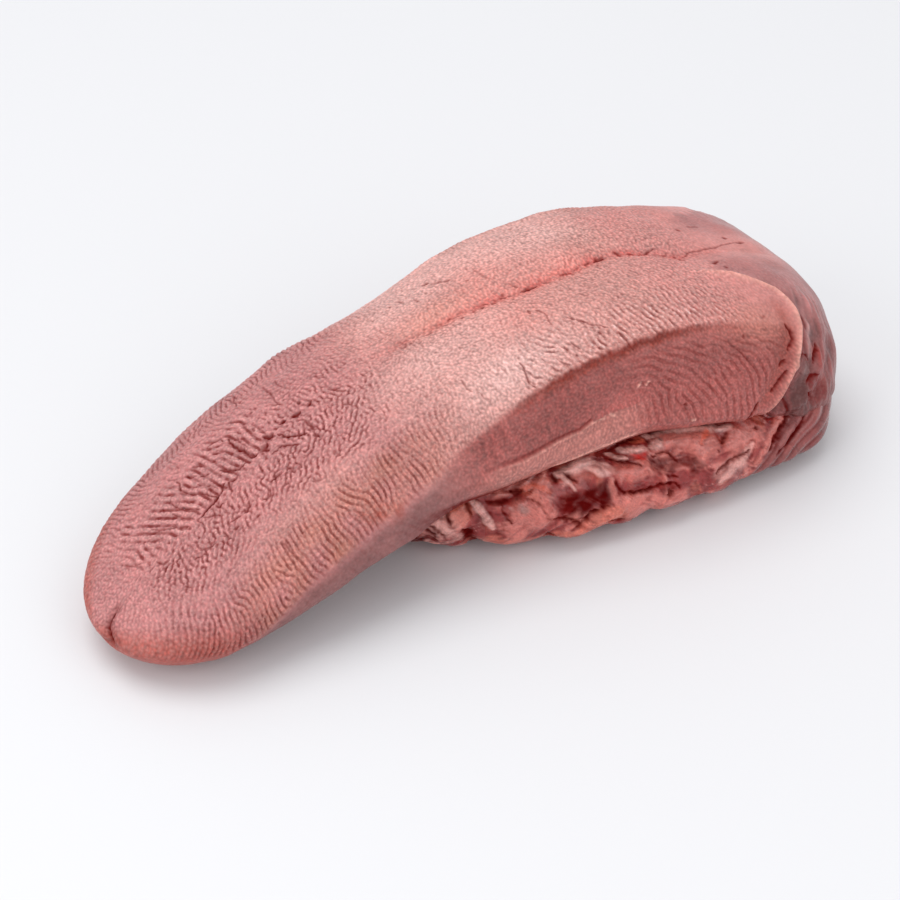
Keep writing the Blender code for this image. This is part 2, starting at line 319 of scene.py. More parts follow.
# Height of each fold and hollow, millimetres
skinRelief = dict(
    lip=1.6, underLip=6.0, flankHollow=2.6, borderRim=0.8, foldGroove=3.8, furrowWide=0.8, furrowNarrow=0.16,
    shoulder=1.4, shoulderHollow=1.5, notchLobe=0.8, notchValley=1.3, membrane=0.4, underMembrane=0.8,
    lowMembrane=0.7, backRidge=1.8, beforeRidge=0.9, pastRidge=1.4, endHollow=2.8, crack=0.6, pit=0.55,
)

# Lines on the skin as (x, arc): arc is the distance round the section from the top, + to the far side
skinLines = dict(
    edge=((0, 10), (7, 26), (28, 49), (47, 60), (81, 57), (118, 57), (137, 55), (152, 51), (185, 49),
          (240, 48.5), (298, 52), (344, 55)),
    furrow=((142, 6), (160, 5), (182, 3), (203, -1), (221, 1), (240, 3), (262, -1), (273, -5), (298, -4)),
    furrowDepth=((110, 0), (150, 1.6), (200, 3.4), (260, 2.6), (300, 1.6), (325, 0)),
    lip=((108, 10), (133, 9), (154, 6), (179, 3), (198, 1), (223, 0), (247, -4), (272, -9)),
    border=((-12, 270), (0, 286), (20, 296), (38, 299), (52, 292), (70, 266)),
)


def sectionAngles():
    # angles round a section, crowded on the near side and the back, sparse below
    s = skin
    near = np.linspace(s["nearFrom"], s["nearTo"], s["nearCount"], endpoint=False)
    far = np.linspace(s["nearTo"], s["farTo"], s["farCount"], endpoint=False)
    under = np.linspace(s["farTo"], 360 + s["nearFrom"], s["underCount"], endpoint=False)
    return np.radians(np.concatenate([near, far, under]))


def bodyStations(count):
    # stations evenly spaced along the top line, so the grid stays even round tip and end
    fine = np.linspace(0.0, 1.0, 6000)
    x = 0.05 + (bodyForm["length"] - 0.1) * (0.6 * (0.5 - 0.5 * np.cos(np.pi * fine)) + 0.4 * fine)
    points, _ = bodySurface(x[:, None], np.array([[np.pi / 2]]))
    length = np.concatenate([[0], np.cumsum(np.linalg.norm(np.diff(points[:, 0], axis=0), axis=1))])
    at = np.linspace(0, length[-1], count)
    return np.interp(at, length, x), at, length[-1]


def maze(draw, shape, cell, bands, heading, pull, rounds, gain, spots):
    # noise filtered again and again to given wavelengths and, where pull is high, to waves along
    # heading, and squashed each time, until it is a maze of ridges, or of pebbles where spots is high
    fy = np.fft.fftfreq(shape[0], cell)[:, None]
    fx = np.fft.fftfreq(shape[1], cell)[None, :]
    frequency = np.hypot(fx, fy)
    direction = np.arctan2(fx, fy)
    headings = np.arange(6) * np.pi / 6
    weights = [np.exp(pull * np.cos(2 * (heading - h))) for h in headings]
    total = sum(weights)
    filters = []
    for wavelength, spread, share in bands:
        ring = np.exp(-((frequency * wavelength - 1) / spread) ** 2)
        for h, weight in zip(headings, weights):
            filters.append((ring * np.cos(direction - h) ** 6, share * weight / total * 6))
    field = draw.normal(size=shape)
    for _ in range(rounds):
        spectrum = np.fft.fft2(field)
        field = sum(weight * np.fft.ifft2(spectrum * f).real for f, weight in filters)
        field = field / field.std()
        field = np.tanh(gain * (field + spots * (field * field - 1)))
    return field


def skinImages(pathLength, stationX, stationAt):
    # ridges, pebbles and cells on an even grid of the unrolled skin; waves run across the ridges
    cell = skin["cell"]
    rows = int(math.ceil(pathLength / cell)) + 2
    columns = int(math.ceil(2 * skin["halfGirth"] / cell)) + 2
    x = np.interp(np.arange(rows) * cell, stationAt, stationX)[:, None] + np.zeros((1, columns))
    arc = np.arange(columns)[None, :] * cell - skin["halfGirth"] + np.zeros((rows, 1))
    far = np.sign(arc)
    side = np.abs(arc)
    edge = curve(skinLines["edge"], x)
    tangent = np.arctan(np.gradient(edge, axis=0) / cell) * far
    flank = ramp(side - edge, 0, 6)
    band = ramp(side, edge - 30, edge - 14) * ramp(x, 160, 120) * (1 - flank)
    back = ramp(x, 125, 175)
    heading = mix(0.5 * far + 0.55 * waves(x, arc, 34, 21), -0.28 * far + 0.5 * waves(x, arc, 26, 23), back)
    heading = mix(heading, tangent - 0.2 * far + 0.25 * waves(x, arc, 24, 24), band)
    finger = -far * np.radians(80 - 58 * ramp(side, 52, 76)) + 0.35 * waves(x, arc, 30, 25)
    heading = mix(heading, finger, flank)
    pull = mix(mix(0.45 + 0.25 * far, 0.6, back), np.where(flank > 0.5, 1.3, 1.7), np.maximum(band, flank))
    coarse = ramp(side, 38, 22) * between(x, 8, 30, 118, 150) + 0.85 * flank
    draw = np.random.default_rng(skin["seed"])
    even = np.ones_like(x)
    w = wrinkles
    ridgeBands = ((w["coarse"], 0.26, coarse), (w["fine"], 0.26, 1 - coarse))
    pebbleBands = ((w["pebble"], 0.40, even), (w["smallPebble"], 0.40, 0.8 * even))
    ridges = maze(draw, x.shape, cell, ridgeBands, heading, pull, 6, 1.3, 0.15)
    pebbles = maze(draw, x.shape, cell, pebbleBands, heading, 0.2 * even, 1, 0.8, 0.4)
    cells = maze(draw, x.shape, cell, ((w["cell"], 0.32, even),), heading, 0.35 * even, 3, 1.1, 0.38)
    print("wrinkles worked out", x.shape)
    return ridges, pebbles, cells


def drawMarks(x, arc, marks, stray):
    # cuts drawn along given lines, as (width, depth): troughs that narrow towards their
    # ends, w = width (0.45 + 0.55 (1 - |2s - 1|^3)); gives depth, and the painted shade in them
    depth = np.zeros_like(x)
    markShade = np.zeros_like(x)
    strayX = stray * (waves(x, arc, 7, 31) + 0.5 * waves(x, arc, 2.6, 34))
    strayArc = stray * (waves(x, arc, 7, 32) + 0.5 * waves(x, arc, 2.6, 35))
    uneven = waves(x, arc, 2.8, 36)
    reach = 5
    for (width, deep), flat in ((size, row) for size, rows in marks.items() for row in rows):
        rows = np.nonzero((x[:, 0] > min(flat[::2]) - reach) & (x[:, 0] < max(flat[::2]) + reach))[0]
        part = slice(rows[0], rows[-1] + 1)
        near, along = followLine((x + strayX)[part], (arc + strayArc)[part], pairs(flat))
        taper = 0.45 + 0.55 * (1 - np.abs(2 * along - 1) ** 3)
        shape = hump(near, width * taper * (1 + 0.22 * uneven[part]))
        depth[part] = np.maximum(depth[part], deep * taper * shape)
        # painted shade in the cut, darker the deeper it is
        depthShade = min(0.35 + 0.5 * deep, 1) * (0.9 + 0.2 * uneven[part])
        markShade[part] = np.maximum(markShade[part], depthShade * shape)
    return depth, np.clip(markShade, 0, 1)


# Cracks of the blade and pits of the base, as (half width, depth): (x, arc, x, arc ...) of each line
bladeCracks = {
    (0.5, 0.5): (
        (39, 13.5, 40.5, 13, 42, 11), (19, 10, 20.5, 7.5, 22, 5, 24.5, 3.5),
        (106, -22.5, 106, -25, 106, -26.5)),
    (0.5, 0.6): (
        (43.5, 12, 45, 9, 47, 4.5, 49.5, 0.5), (69.5, 20.5, 71, 20, 72.5, 18, 73.5, 16),
        (57.5, 13.5, 60, 9.5, 62, 6.5, 63, 4), (32, 8.5, 34, 6.5, 35.5, 5.5, 36.5, 5.5),
        (34.5, 13.5, 37, 9.5, 40.5, 6, 42.5, 4.5, 43.5, 1.5, 46.5, -2), (26, -8.5, 28, -9.5),
        (100.5, 34, 100.5, 27.5, 100, 21.5, 100, 17.5), (105.5, 32, 105, 26.5, 105.5, 23.5)),
    (0.5, 0.7): (
        (52, -1, 50, -0.5, 50, -3, 50.5, -5.5), (52.5, -2, 54, -3.5, 56, -5.5, 58, -8.5),
        (80, 18.5, 79.5, 15, 80, 12, 80.5, 9.5), (44.5, -14, 47, -15.5, 49, -16.5, 51, -17),
        (67, -21, 69, -21, 70, -20.5), (94.5, -15, 96.5, -15.5, 98.5, -15, 99.5, -15.5)),
    (0.55, 0.8): (
        (69, 25.5, 71.5, 26, 73, 25, 74.5, 24, 75, 21.5), (56.5, 22, 57.5, 19.5, 59, 17.5),
        (29.5, -1.5, 30.5, -4.5, 32, -5.5, 33.5, -6), (55.5, -15, 55.5, -18.5, 56, -20.5)),
    (0.6, 0.5): ((92.5, -27, 94, -27.5, 96, -28), (71.5, -37, 72.5, -40.5, 72.5, -43.5, 73.5, -47.5)),
    (0.6, 0.6): ((119, -6, 121, -8), (34, -14, 35, -14.5)),
    (0.6, 0.8): ((59.5, -14, 62, -14.5, 63.5, -15.5), (91, 45, 89.5, 40, 88, 35)),
    (0.6, 0.9): (
        (67.5, 1.5, 69.5, 1, 71, 1), (46.5, 18, 46.5, 14.5, 47, 11.5, 49, 8, 51, 5, 52.5, 3),
        (60.5, 15.5, 61.5, 15, 63.5, 14), (41, -15, 43, -15.5, 45, -16.5, 46.5, -18),
        (73.5, -17, 75.5, -17.5, 77, -17.5, 78, -15.5), (88, -12.5, 88.5, -15.5, 89, -17.5),
        (91, -13.5, 91.5, -16, 91.5, -18)),
    (0.6, 1.0): (
        (52.5, 24, 52.5, 21, 51.5, 18, 52.5, 14.5, 54.5, 11.5, 56.5, 8.5, 58.5, 4.5, 60, 1.5),
        (86.5, -2, 88.5, -2.5, 90.5, -2.5, 92.5, -4, 94, -6, 96, -7)),
    (0.65, 1.2): ((92.5, 4, 93.5, 1.5, 95, -1, 97, -2.5, 99, -4.5, 101, -6.5),),
    (0.7, 0.6): ((91.5, 20, 91.5, 19), (85, 20.5, 84.5, 19), (90, 13.5, 89.5, 12.5)),
    (0.7, 0.7): ((113.5, -1.5, 113.5, -3), (34, -21.5, 35, -23.5), (94, 19, 93.5, 17.5)),
    (0.7, 0.8): ((118, 6, 119.5, 4, 121.5, 3),),
    (0.7, 1.0): ((65, -15.5, 67, -15, 68.5, -14, 69.5, -12.5), (79.5, -13, 81, -13, 82.5, -13, 84, -13)),
    (0.7, 1.2): ((63.5, 1, 65, 3, 66, 3), (67, 10, 69.5, 7.5, 71, 5.5, 73, 3.5, 75, 4, 76.5, 4)),
    (0.75, 1.5): ((63.5, 1, 61.5, 1, 59, 0.5, 56, 0, 53.5, -0.5, 52, -1),),
    (0.75, 1.6): ((7.5, -5, 5.5, -6, 3.5, -7.5, 2.5, -10, 2, -13, 2.2, -15),),
    (0.8, 0.6): ((56, 31, 56, 29),),
    (0.8, 0.7): (
        (89.5, 35.5, 91, 35), (90, 24.5, 89.5, 23.5), (92.5, 25.5, 92.5, 24.5), (86.5, 16, 86.5, 14.5)),
    (0.8, 0.8): ((83.5, -18.5, 84, -20),),
    (0.8, 0.9): ((103, -2, 103.5, -3, 104.5, -6.5, 104.5, -7.5), (107, -9.5, 108, -9.5)),
    (0.8, 1.3): ((67, 2, 66.5, -0.5, 66.5, -2.5),),
    (0.8, 1.5): ((77, 20.5, 76.5, 16.5, 77, 13, 78, 9.5, 78.5, 6.5, 79.5, 4, 81.5, 3.5, 83, 3.5),),
    (0.9, 0.9): ((60.5, 23, 62, 21, 63, 19.5), (59, -17.5, 60.5, -18.5)),
    (0.9, 1.0): ((58.5, -2, 59.5, -4, 61, -4.5),),
    (0.9, 1.2): ((102.5, -9.5, 103.5, -11, 103.5, -12.5),),
    (1.0, 1.1): ((105.5, 10.5, 106.5, 9.5), (107.5, 5.5, 108.5, 6, 110, 6.5)),
    (1.1, 1.5): ((95, 7.5, 96, 7, 97.5, 7),),
    (1.2, 1.5): ((101, 6.5, 102.5, 5.5, 104, 6),),
    (1.3, 1.9): ((87, 4.5, 85.5, 3, 85.5, 0.5),),
    (1.3, 2.0): ((87.5, 8, 88.5, 6, 90, 6, 91, 6),),
}

baseMarks = {
    (0.4, 0.4): ((160, -28, 160, -32.5, 161, -35.5), (163, -37, 164, -40.5, 165, -42)),
    (0.4, 0.5): (
        (202, -18.5, 202.5, -20.5, 201.5, -24.5, 201.5, -28.5), (200, -16.5, 201.5, -18, 202.5, -20),
        (190.5, -38.5, 191.5, -41, 192.5, -42.5), (192, -43, 193, -46, 194.5, -47),
        (195.5, -41.5, 196.5, -44.5, 199, -47)),
    (0.45, 0.7): (
        (208, -26.5, 209.5, -28, 211.5, -30.5, 214, -34, 217, -36.5, 219, -38.5),
        (203.5, -38, 204, -40.5, 205, -43), (200, -38, 200.5, -40.5, 200.5, -42)),
    (0.5, 0.3): ((166.5, 2.5, 168.5, 2, 171.5, 1, 173, 1.5),),
    (0.5, 0.5): ((265.5, -59.5, 268.5, -61.5, 270.5, -64.5, 273, -68, 275.5, -72),),
    (0.5, 0.6): ((273, -6, 278.5, -3, 283.5, -3, 291.5, -1.5, 296.5, 0.5, 304.5, 2.5),),
    (0.5, 0.7): ((202.5, -44, 203, -45),),
    (0.5, 0.8): ((221.5, -42, 222.5, -46, 222.5, -48.5, 223.5, -51),),
    (0.5, 0.9): ((182.5, -35.5, 182.5, -39.5, 182, -42, 182, -45, 183, -48),),
    (0.6, 0.3): ((194.5, 24.5, 194.5, 18, 195.5, 12, 196.5, 10.5),),
    (0.6, 0.4): ((195.5, 2, 195.5, -1), (200.5, 5, 202.5, 1.5)),
    (0.6, 0.5): ((160.5, 2, 162.5, 2, 164, 1.5), (282.5, -48.5, 284.5, -48)),
    (0.7, 0.5): ((213, -0.5, 214.5, -2), (150, 2.5, 151.5, 2.5, 152.5, 4.5)),
    (0.7, 0.6): ((237, -1, 236.5, -3),),
    (0.7, 0.9): (
        (256, -0.5, 259, -0.5, 264, 1.5),
        (295.2, -68.5, 296.2, -66.2, 299, -65, 304.3, -65.7, 306.3, -68.5)),
    (0.7, 1.4): ((277.5, -87.5, 274.5, -92.5, 272.1, -98.1),),
    (0.8, 0.2): ((173.5, -32.5, 174, -33.5),),
    (0.8, 0.4): ((290, 16, 295, 16), (272, -55, 272, -56.5)),
    (0.8, 0.5): ((154, 3, 154.5, 2), (163, 30.5, 164, 26.5), (168, 24.5, 168.5, 21)),
    (0.8, 0.6): ((176, 0.5, 177.5, 0),),
    (0.8, 0.7): (
        (182, 1.5, 182, -0.5), (197.5, -15, 198, -17), (305, 2.5, 309, 2.5),
        (309.5, -43.5, 309.7, -47.3, 308.5, -50.9)),
    (0.8, 0.8): ((224, 0, 225.5, 0),),
    (0.8, 1.1): ((247.5, 4.5, 248.5, 3, 248.5, -0.5),),
    (0.8, 1.3): ((289.5, -67, 288.4, -68.7, 287.3, -70.5),),
    (0.8, 1.4): ((202.5, -0.5, 204.5, -1, 207, -1, 209.5, -1),),
    (0.8, 1.7): ((290.5, -72, 289.1, -74.1, 286.5, -78.5, 283.7, -83.2),),
    (0.85, 1.6): ((293, -51.5, 294.3, -54.3, 294.5, -57.5, 291.6, -62.9),),
    (0.9, 0.2): ((168, -37, 168, -38),),
    (0.9, 0.4): ((188.5, 17.5, 189.5, 17),),
    (0.9, 0.5): ((178, 28, 181.5, 26, 184.5, 23),),
    (0.9, 0.6): ((166.5, 29, 166.5, 28.5), (282.5, 13.5, 284, 12.5), (284.5, -18.5, 285.5, -19)),
    (0.9, 0.8): ((242.5, -82.5, 243.5, -83.5),),
    (0.9, 0.9): ((185, 0, 186.5, 0), (272, -6.5, 272, -9)),
    (0.9, 1.1): ((189.5, 0, 191, -1),),
    (0.9, 1.8): ((312.8, -57.5, 312.2, -60, 310.5, -64.5, 308.8, -69.5),),
    (1.0, 0.6): ((158.5, 29, 159, 29),),
    (1.0, 0.8): ((301, 6.5, 302.5, 6),),
    (1.0, 0.9): ((175, 31, 177.5, 29.5), (281.5, -15, 284.5, -14)),
    (1.0, 1.0): ((214.5, -39, 215.5, -40),),
    (1.0, 1.2): ((304.5, -79.5, 307.5, -75.7, 311.5, -74.4),),
    (1.2, 0.9): ((293.2, -79, 292.8, -84, 293, -90, 295, -97),),
    (1.2, 1.8): ((237.5, 2.5, 239.5, 3, 242, 2.5),),
    (1.6, 1.6): ((304.5, -84.5, 306.5, -85.4, 308.5, -87),),
}


# the gleam and crest tones are painted highlights, and the under tone is partly painted shade
skinTones = dict(      # linear colours before light
    blade=(0.49, 0.182, 0.178), dorsum=(0.60, 0.260, 0.226), pale=(0.78, 0.46, 0.42),
    rear=(0.57, 0.215, 0.195), flush=(0.73, 0.240, 0.200), deepFlush=(0.54, 0.080, 0.066),
    orange=(0.68, 0.25, 0.170), tan=(0.50, 0.180, 0.134), rim=(0.37, 0.060, 0.038),
    flank=(0.318, 0.075, 0.066), darkFlank=(0.42, 0.103, 0.090), shoulder=(0.30, 0.046, 0.028),
    under=(0.220, 0.084, 0.080), mucosa=(0.23, 0.055, 0.053), bulge=(0.125, 0.033, 0.030),
    groove=(0.14, 0.009, 0.008), redEdge=(0.34, 0.046, 0.038), membrane=(0.50, 0.185, 0.155),
    paleFold=(0.82, 0.38, 0.31), blood=(0.24, 0.004, 0.003), paintedCrestLight=(0.72, 0.35, 0.33),
    mauve=(0.44, 0.175, 0.168), redZone=(0.20, 0.030, 0.028), greyZone=(0.20, 0.100, 0.100),
    paleStreak=(0.50, 0.26, 0.25), lensHead=(0.20, 0.085, 0.078), paintedGleam=(0.95, 0.76, 0.75),
)

# Soft lines of the skin as (x, arc) points
skinFolds = dict(
    membraneTop=((144, -67), (152, -68), (160, -69), (168, -71.5), (174, -72.6), (187, -74.3),
                 (196.7, -76.3), (201.6, -75)),
    membraneLow=((181, -84.5), (190.6, -86), (200, -87), (208.7, -88.5), (218.8, -88.6), (225, -90)),
    # painted highlights: short pale dashes that stand for glints on the membrane's edge and the flank
    paintedGlints=(((202, -75), (204, -75.6)), ((205.5, -75.5), (207.5, -76)), ((210, -75), (211.5, -76.5)),
            ((222.5, -67.5), (223.5, -66)), ((226, -68), (227, -67)), ((245.5, -90.5), (247, -90.5))),
    backRidge=((262, -19), (271, -21), (281, -24), (286, -27.7), (293, -30.5), (298, -34), (299.7, -40),
               (300.3, -46), (300.4, -52.3), (297.2, -59.6), (293.8, -69.6), (291, -77), (288.3, -84),
               (284, -92), (279, -100)),
    ridgeLine=((-100, 279), (-92, 284), (-84, 288.3), (-77, 291), (-69.6, 293.8), (-59.6, 297.2),
               (-52.3, 300.4), (-46, 300.3), (-34, 298), (-27.7, 286), (-22, 278)),       # as (arc, x)
    redZone=((302.5, -50), (301, -60.6), (299.5, -65)),
    greyZone=((309, -38), (311, -46), (311, -53)),
    paleStreak=((311.5, -48), (309, -53.5), (307.3, -59.9), (307.3, -66)),
    lens=((298.5, -70), (301.3, -74), (300.4, -81), (300.2, -88), (302.1, -98)),
    lensHead=((298.7, -69.8), (302.5, -72)),
    bloodPool=((307, -79), (311, -77), (314, -81), (308.5, -87)),
    redRim=((312.2, -62), (313.6, -67.7), (316.2, -74.7), (316.1, -84), (312, -92)),
    notchLobe=((8, -9), (5, -14)),
    notchValley=((9, -5), (5, -6.5), (2, -12), (2, -16)),
    bruise=((103, -51), (110, -56), (116, -60)),
)


def toned(base, tone, amount):
    # the base colour drawn towards a tone
    return base + (np.array(tone) - base) * np.clip(amount, 0, 1)[..., None]


def makeSkin(material):
    # sections carried from tip to cut end, moved outward along the surface by every relief added up
    s = skin
    f = skinFolds
    h = skinRelief
    w = wrinkles
    stationX, stationAt, pathLength = bodyStations(s["slices"] * s["alongPerSlice"] + 1)
    angle = sectionAngles()
    x = stationX[:, None] + 0 * angle[None, :]
    base, grown = bodySurface(x, angle[None, :])
    degrees = ((np.degrees(angle) + 180) % 360 - 180)[None, :]
    side = np.degrees(np.arcsin(np.sin(angle)))[None, :]
    arc = arcFromTop(base, angle)
    lastStep = np.linalg.norm(base[:, -1, 1:] - base[:, 0, 1:], axis=-1)[:, None]
    girth = arc[:, -1:] - arc[:, :1] + lastStep
    arc = np.where(arc > girth / 2, arc - girth, arc)
    row = (stationAt / s["cell"])[:, None] + 0 * x
    column = (arc + s["halfGirth"]) / s["cell"]
    images = skinImages(pathLength, stationX, stationAt)
    ridges, pebbles, cells = (sample(image, row, column) for image in images)

    def noise(size, seed):
        # soft unevenness over this surface
        return waves(x, arc, size, seed)

    def bell(line, width):
        # bell of height 1 over a line
        return hump(nearLine(x, arc, line), width)

    def blot(line, solid, gone):
        # 1 within solid of a line, 0 past gone
        return ramp(nearLine(x, arc, line), gone, solid)

    crack, crackShade = drawMarks(x, arc, bladeCracks, 0.4)
    pit, pitShade = drawMarks(x, arc, baseMarks, 0.25)
    absArc = np.abs(arc)
    near = np.cos(angle)[None, :] > 0
    edge = curve(skinLines["edge"], x)
    inside = edge - absArc

    # large relief, as in the CAD
    overRoot = between(x, 110, 150, 262, 290)
    fromLip = side - curve(skinLines["lip"], x)
    lip = overRoot * (h["lip"] * hump(fromLip - 3, 4) - h["underLip"] * hump(fromLip + 12, 8))
    flankHollow = -h["flankHollow"] * overRoot * hump(side - 19, 10)
    behind = x - curve(skinLines["border"], side)
    onFold = between(side, -30, -10, 48, 74) * ramp(degrees, 122, 100)
    foldGroove = h["foldGroove"] * ramp(side, 62, 25)
    foldGroove = foldGroove * (hump(behind - 11, 7) + 0.5 * hump(behind - 27, 5))
    border = onFold * (h["borderRim"] * hump(behind + 2, 5) - foldGroove)
    furrowAt = arc - curve(skinLines["furrow"], x)
    furrow = h["furrowWide"] * hump(furrowAt, 6.5) + h["furrowNarrow"] * hump(furrowAt, 1.6)
    furrow = -curve(skinLines["furrowDepth"], x) * furrow
    shoulderOn = ramp(x, 158, 196) * (1 - 0.65 * ramp(x, 235, 262)) * ramp(x, 292, 262)
    jag = 0.4 * noise(9, 53) + 0.35 * noise(2.6, 62)
    shoulderEdge = h["shoulder"] * hump(inside - 0.3 + jag, 1.9)
    shoulderEdge = shoulderOn * (shoulderEdge - h["shoulderHollow"] * hump(inside + 5.5, 4))
    swell = (0.6 * noise(46, 45) + 0.3 * noise(17, 46)) * ramp(x, 0, 60)
    notchLobe = h["notchLobe"] * bell(f["notchLobe"], 4.5)
    notchValley = h["notchValley"] * bell(f["notchValley"], 2.4)

    # soft folds drawn along given lines
    fromMembrane, alongMembrane = followLine(x, arc, f["membraneTop"])
    membraneOn = ramp(alongMembrane, 0.1, 0.5)
    underMembrane = arc < np.interp(x, *np.array(f["membraneTop"]).T)
    membraneCrease = hump(nearLine(x, arc - 1.5, f["membraneTop"]), 0.8) * membraneOn
    fromMembraneLow, alongLow = followLine(x, arc, f["membraneLow"])
    lowOn = np.minimum(ramp(alongLow, 0, 0.2), ramp(alongLow, 1, 0.85))
    lowCrease = hump(nearLine(x, arc + 1.6, f["membraneLow"]), 0.7) * lowOn
    membraneRidge = h["membrane"] * (hump(fromMembrane, 0.8) * membraneOn - membraneCrease)
    membraneHollow = h["underMembrane"] * hump(fromMembrane - 4.5, 3) * membraneOn * underMembrane
    lowRidge = h["lowMembrane"] * (hump(fromMembraneLow, 0.9) * lowOn - lowCrease)
    ridgeNear, alongRidge = followLine(x, arc, f["backRidge"])
    ridgeOn = ramp(alongRidge, 0, 0.25)
    pastRidge = x - np.interp(-absArc, *np.array(f["ridgeLine"]).T)
    # painted shade: dark in the valley just behind the back ridge
    valleyShade = hump(pastRidge - 4.6, 1.5) * ramp(-arc, 30, 44) * ridgeOn
    backRidge = h["backRidge"] * hump(ridgeNear, 1.7)
    backRidge = backRidge - h["beforeRidge"] * hump(pastRidge + 6, 3) * ramp(-arc, 36, 48)
    backRidge = backRidge - h["pastRidge"] * hump(pastRidge - 6, 2.6) * ramp(-arc, 22, 34)
    aboveFloor = ramp(absArc, girth / 2 - 6, girth / 2 - 26)
    streaks = waves(2.6 * x, 0.45 * arc, 9, 67) * ramp(pastRidge, 1, 8) * ramp(absArc, 22, 34) * aboveFloor
    # mask of the painted glints; each one is also raised a little in the relief below
    paintedGlint = sum(bell(line, 0.55) for line in f["paintedGlints"])
    redZone = bell(f["redZone"], 3.2)
    greyZone = bell(f["greyZone"], 4.2)
    paleStreak = bell(f["paleStreak"], 1.5)
    lens = blot(f["lens"], 3.6, 5.2)
    lensHead = blot(f["lensHead"], 3.2, 4.4)
    pool = blot(f["bloodPool"], 1.8, 4.8)
    redRim = bell(f["redRim"], 2.2)
    endHollow = h["endHollow"] * ramp(x, 300, 318) * hump(degrees - 18, 30)
    folds = membraneRidge - membraneHollow + lowRidge + backRidge * ridgeOn - endHollow
    folds = folds + 0.4 * paintedGlint - 1.0 * redZone - 0.8 * greyZone + 0.5 * paleStreak
    folds = folds + 0.5 * lensHead + 0.5 * lens - 0.6 * pool + 0.3 * redRim + 0.3 * streaks

    # how strongly each kind of wrinkle stands
    blade = between(x, 6, 34, 118, 165)
    middle = blade * ramp(absArc + 6 * noise(30, 47) + 4 * noise(9, 64), 37, 12)
    middle = middle * (1 - 0.5 * ramp(x, 86, 108) * ramp(arc, -2, 8))
    inCells = blade * np.maximum(ramp(arc, 1, -9), ramp(x, 84, 100))
    ridges = mix(ridges, cells, inCells * ramp(absArc, edge - 22, edge - 30))
    strokes = between(x, 120, 165, 268, 300) * ramp(inside, -2, 2)
    nearShoulder = strokes * ramp(-arc, 18, 40) * between(x, 165, 195, 250, 285)
    nearShoulder = nearShoulder * (0.45 + 0.55 * ramp(noise(11, 65), -0.8, 0.8))
    edgeBand = between(x, 8, 40, 120, 165) * ramp(absArc, edge - 28, edge - 14) * ramp(-inside, 5, 0)
    fingers = between(x, 205, 232, 286, 299) * ramp(-inside, 3, 10) * ramp(ridgeNear, 4, 12)
    fingers = fingers * ramp(fromLip, -1, 5)
    onBack = ramp(inside, -4, 3) * ramp(x, 296, 258)
    patchy = ramp(noise(13, 48), -1.3, 0.9)
    strength = w["back"] * onBack + w["blade"] * blade + w["middle"] * middle + w["strokes"] * strokes
    strength = strength + w["nearShoulder"] * nearShoulder + w["edgeBand"] * edgeBand
    strength = (strength + w["fingers"] * fingers) * (0.45 + 0.65 * patchy) * grown ** 0.4
    groove = ramp(-ridges, 0.25, 0.95)
    breaks = ramp(noise(5, 49) + 0.5 * pebbles + 1.2 * edgeBand + 1.2 * fingers, -1.4, 0.3)
    pebbly = 0.05 + 0.13 * onBack + 0.07 * middle - 0.03 * nearShoulder
    pebbly = pebbly * (1 - 0.6 * fingers) * grown ** 0.4 * (0.55 + 0.6 * ramp(noise(15, 66), -1, 1))
    fine = strength * (0.35 * ridges - 0.75 * groove * breaks) + pebbly * pebbles

    relief = (lip + flankHollow + border + furrow + swell + shoulderEdge + notchLobe) * grown
    relief = relief + folds + fine - notchValley - h["crack"] * crack - h["pit"] * pit
    points = base + gridNormals(base) * relief[..., None]
    points[..., 2] = np.maximum(points[..., 2], s["lowest"])

    # colour: regions first, then lines and grooves
    cloud = noise(26, 51)
    tone = np.zeros(x.shape + (3,)) + np.array(skinTones["blade"])

    def paint(name, amount):
        # draws the colours towards a named tone
        tone[:] = toned(tone, skinTones[name], amount)

    def lighten(amount):
        # tone * (1 + amount)
        tone[:] = tone * (1 + amount)[..., None]

    paint("dorsum", ramp(x + 8 * cloud, 108, 165) * 0.95)
    paint("dorsum", ramp(x, 130, 100) * hump(arc + 34, 10) * ramp(x, 40, 90) * 0.6)
    paint("pale", 0.55 * ramp(arc, 10, 26) * between(x, 130, 160, 230, 262))
    # painted light: a pale patch on the near side in front of the shoulder, where the surface faces the
    # lamp; the second term pales the skin nearer the middle
    paintedLitPatch = 0.85 * hump(x - 178, 26) * hump(arc + 37, 12)
    paint("pale", paintedLitPatch + 0.5 * hump(x - 160, 30) * hump(arc + 12, 12))
    paint("rear", ramp(x + 8 * cloud, 228, 272) * 0.9)
    paint("flush", 0.8 * hump(furrowAt - 2, 6) * between(x, 172, 194, 222, 252))
    redLine = between(x, 130, 165, 262, 300) * (0.75 + 0.4 * noise(12, 57))
    paint("deepFlush", 0.75 * hump(furrowAt, 2.6) * redLine)
    paint("flush", 0.45 * hump(x - 192, 16) * hump(arc - 17, 13))
    paint("flush", 0.4 * hump(x - 196, 12) * hump(arc + 16, 8))
    furrowSlit = hump(furrowAt + 0.5 * noise(9, 58), 0.7) * redLine * ramp(noise(4, 59), -0.2, 0.7)
    paint("orange", 0.35 * hump(x - 168, 16) * hump(arc - 9, 6))
    paint("tan", 0.8 * edgeBand * (arc < 0) * ramp(x, 34, 62) * (0.7 + 0.5 * noise(18, 52)))
    rim = ramp(x, 62, 34) * ramp(absArc, edge - 16, edge - 3)
    paint("rim", 0.8 * rim * (1 - 0.5 * ramp(absArc, edge + 16, edge + 30)))
    # the blade's side and underside past its edge in the darker under tone, partly its own colour and partly
    # painted shade
    paint("under", 0.85 * ramp(-inside, 0, 7) * between(x, 30, 60, 135, 165))
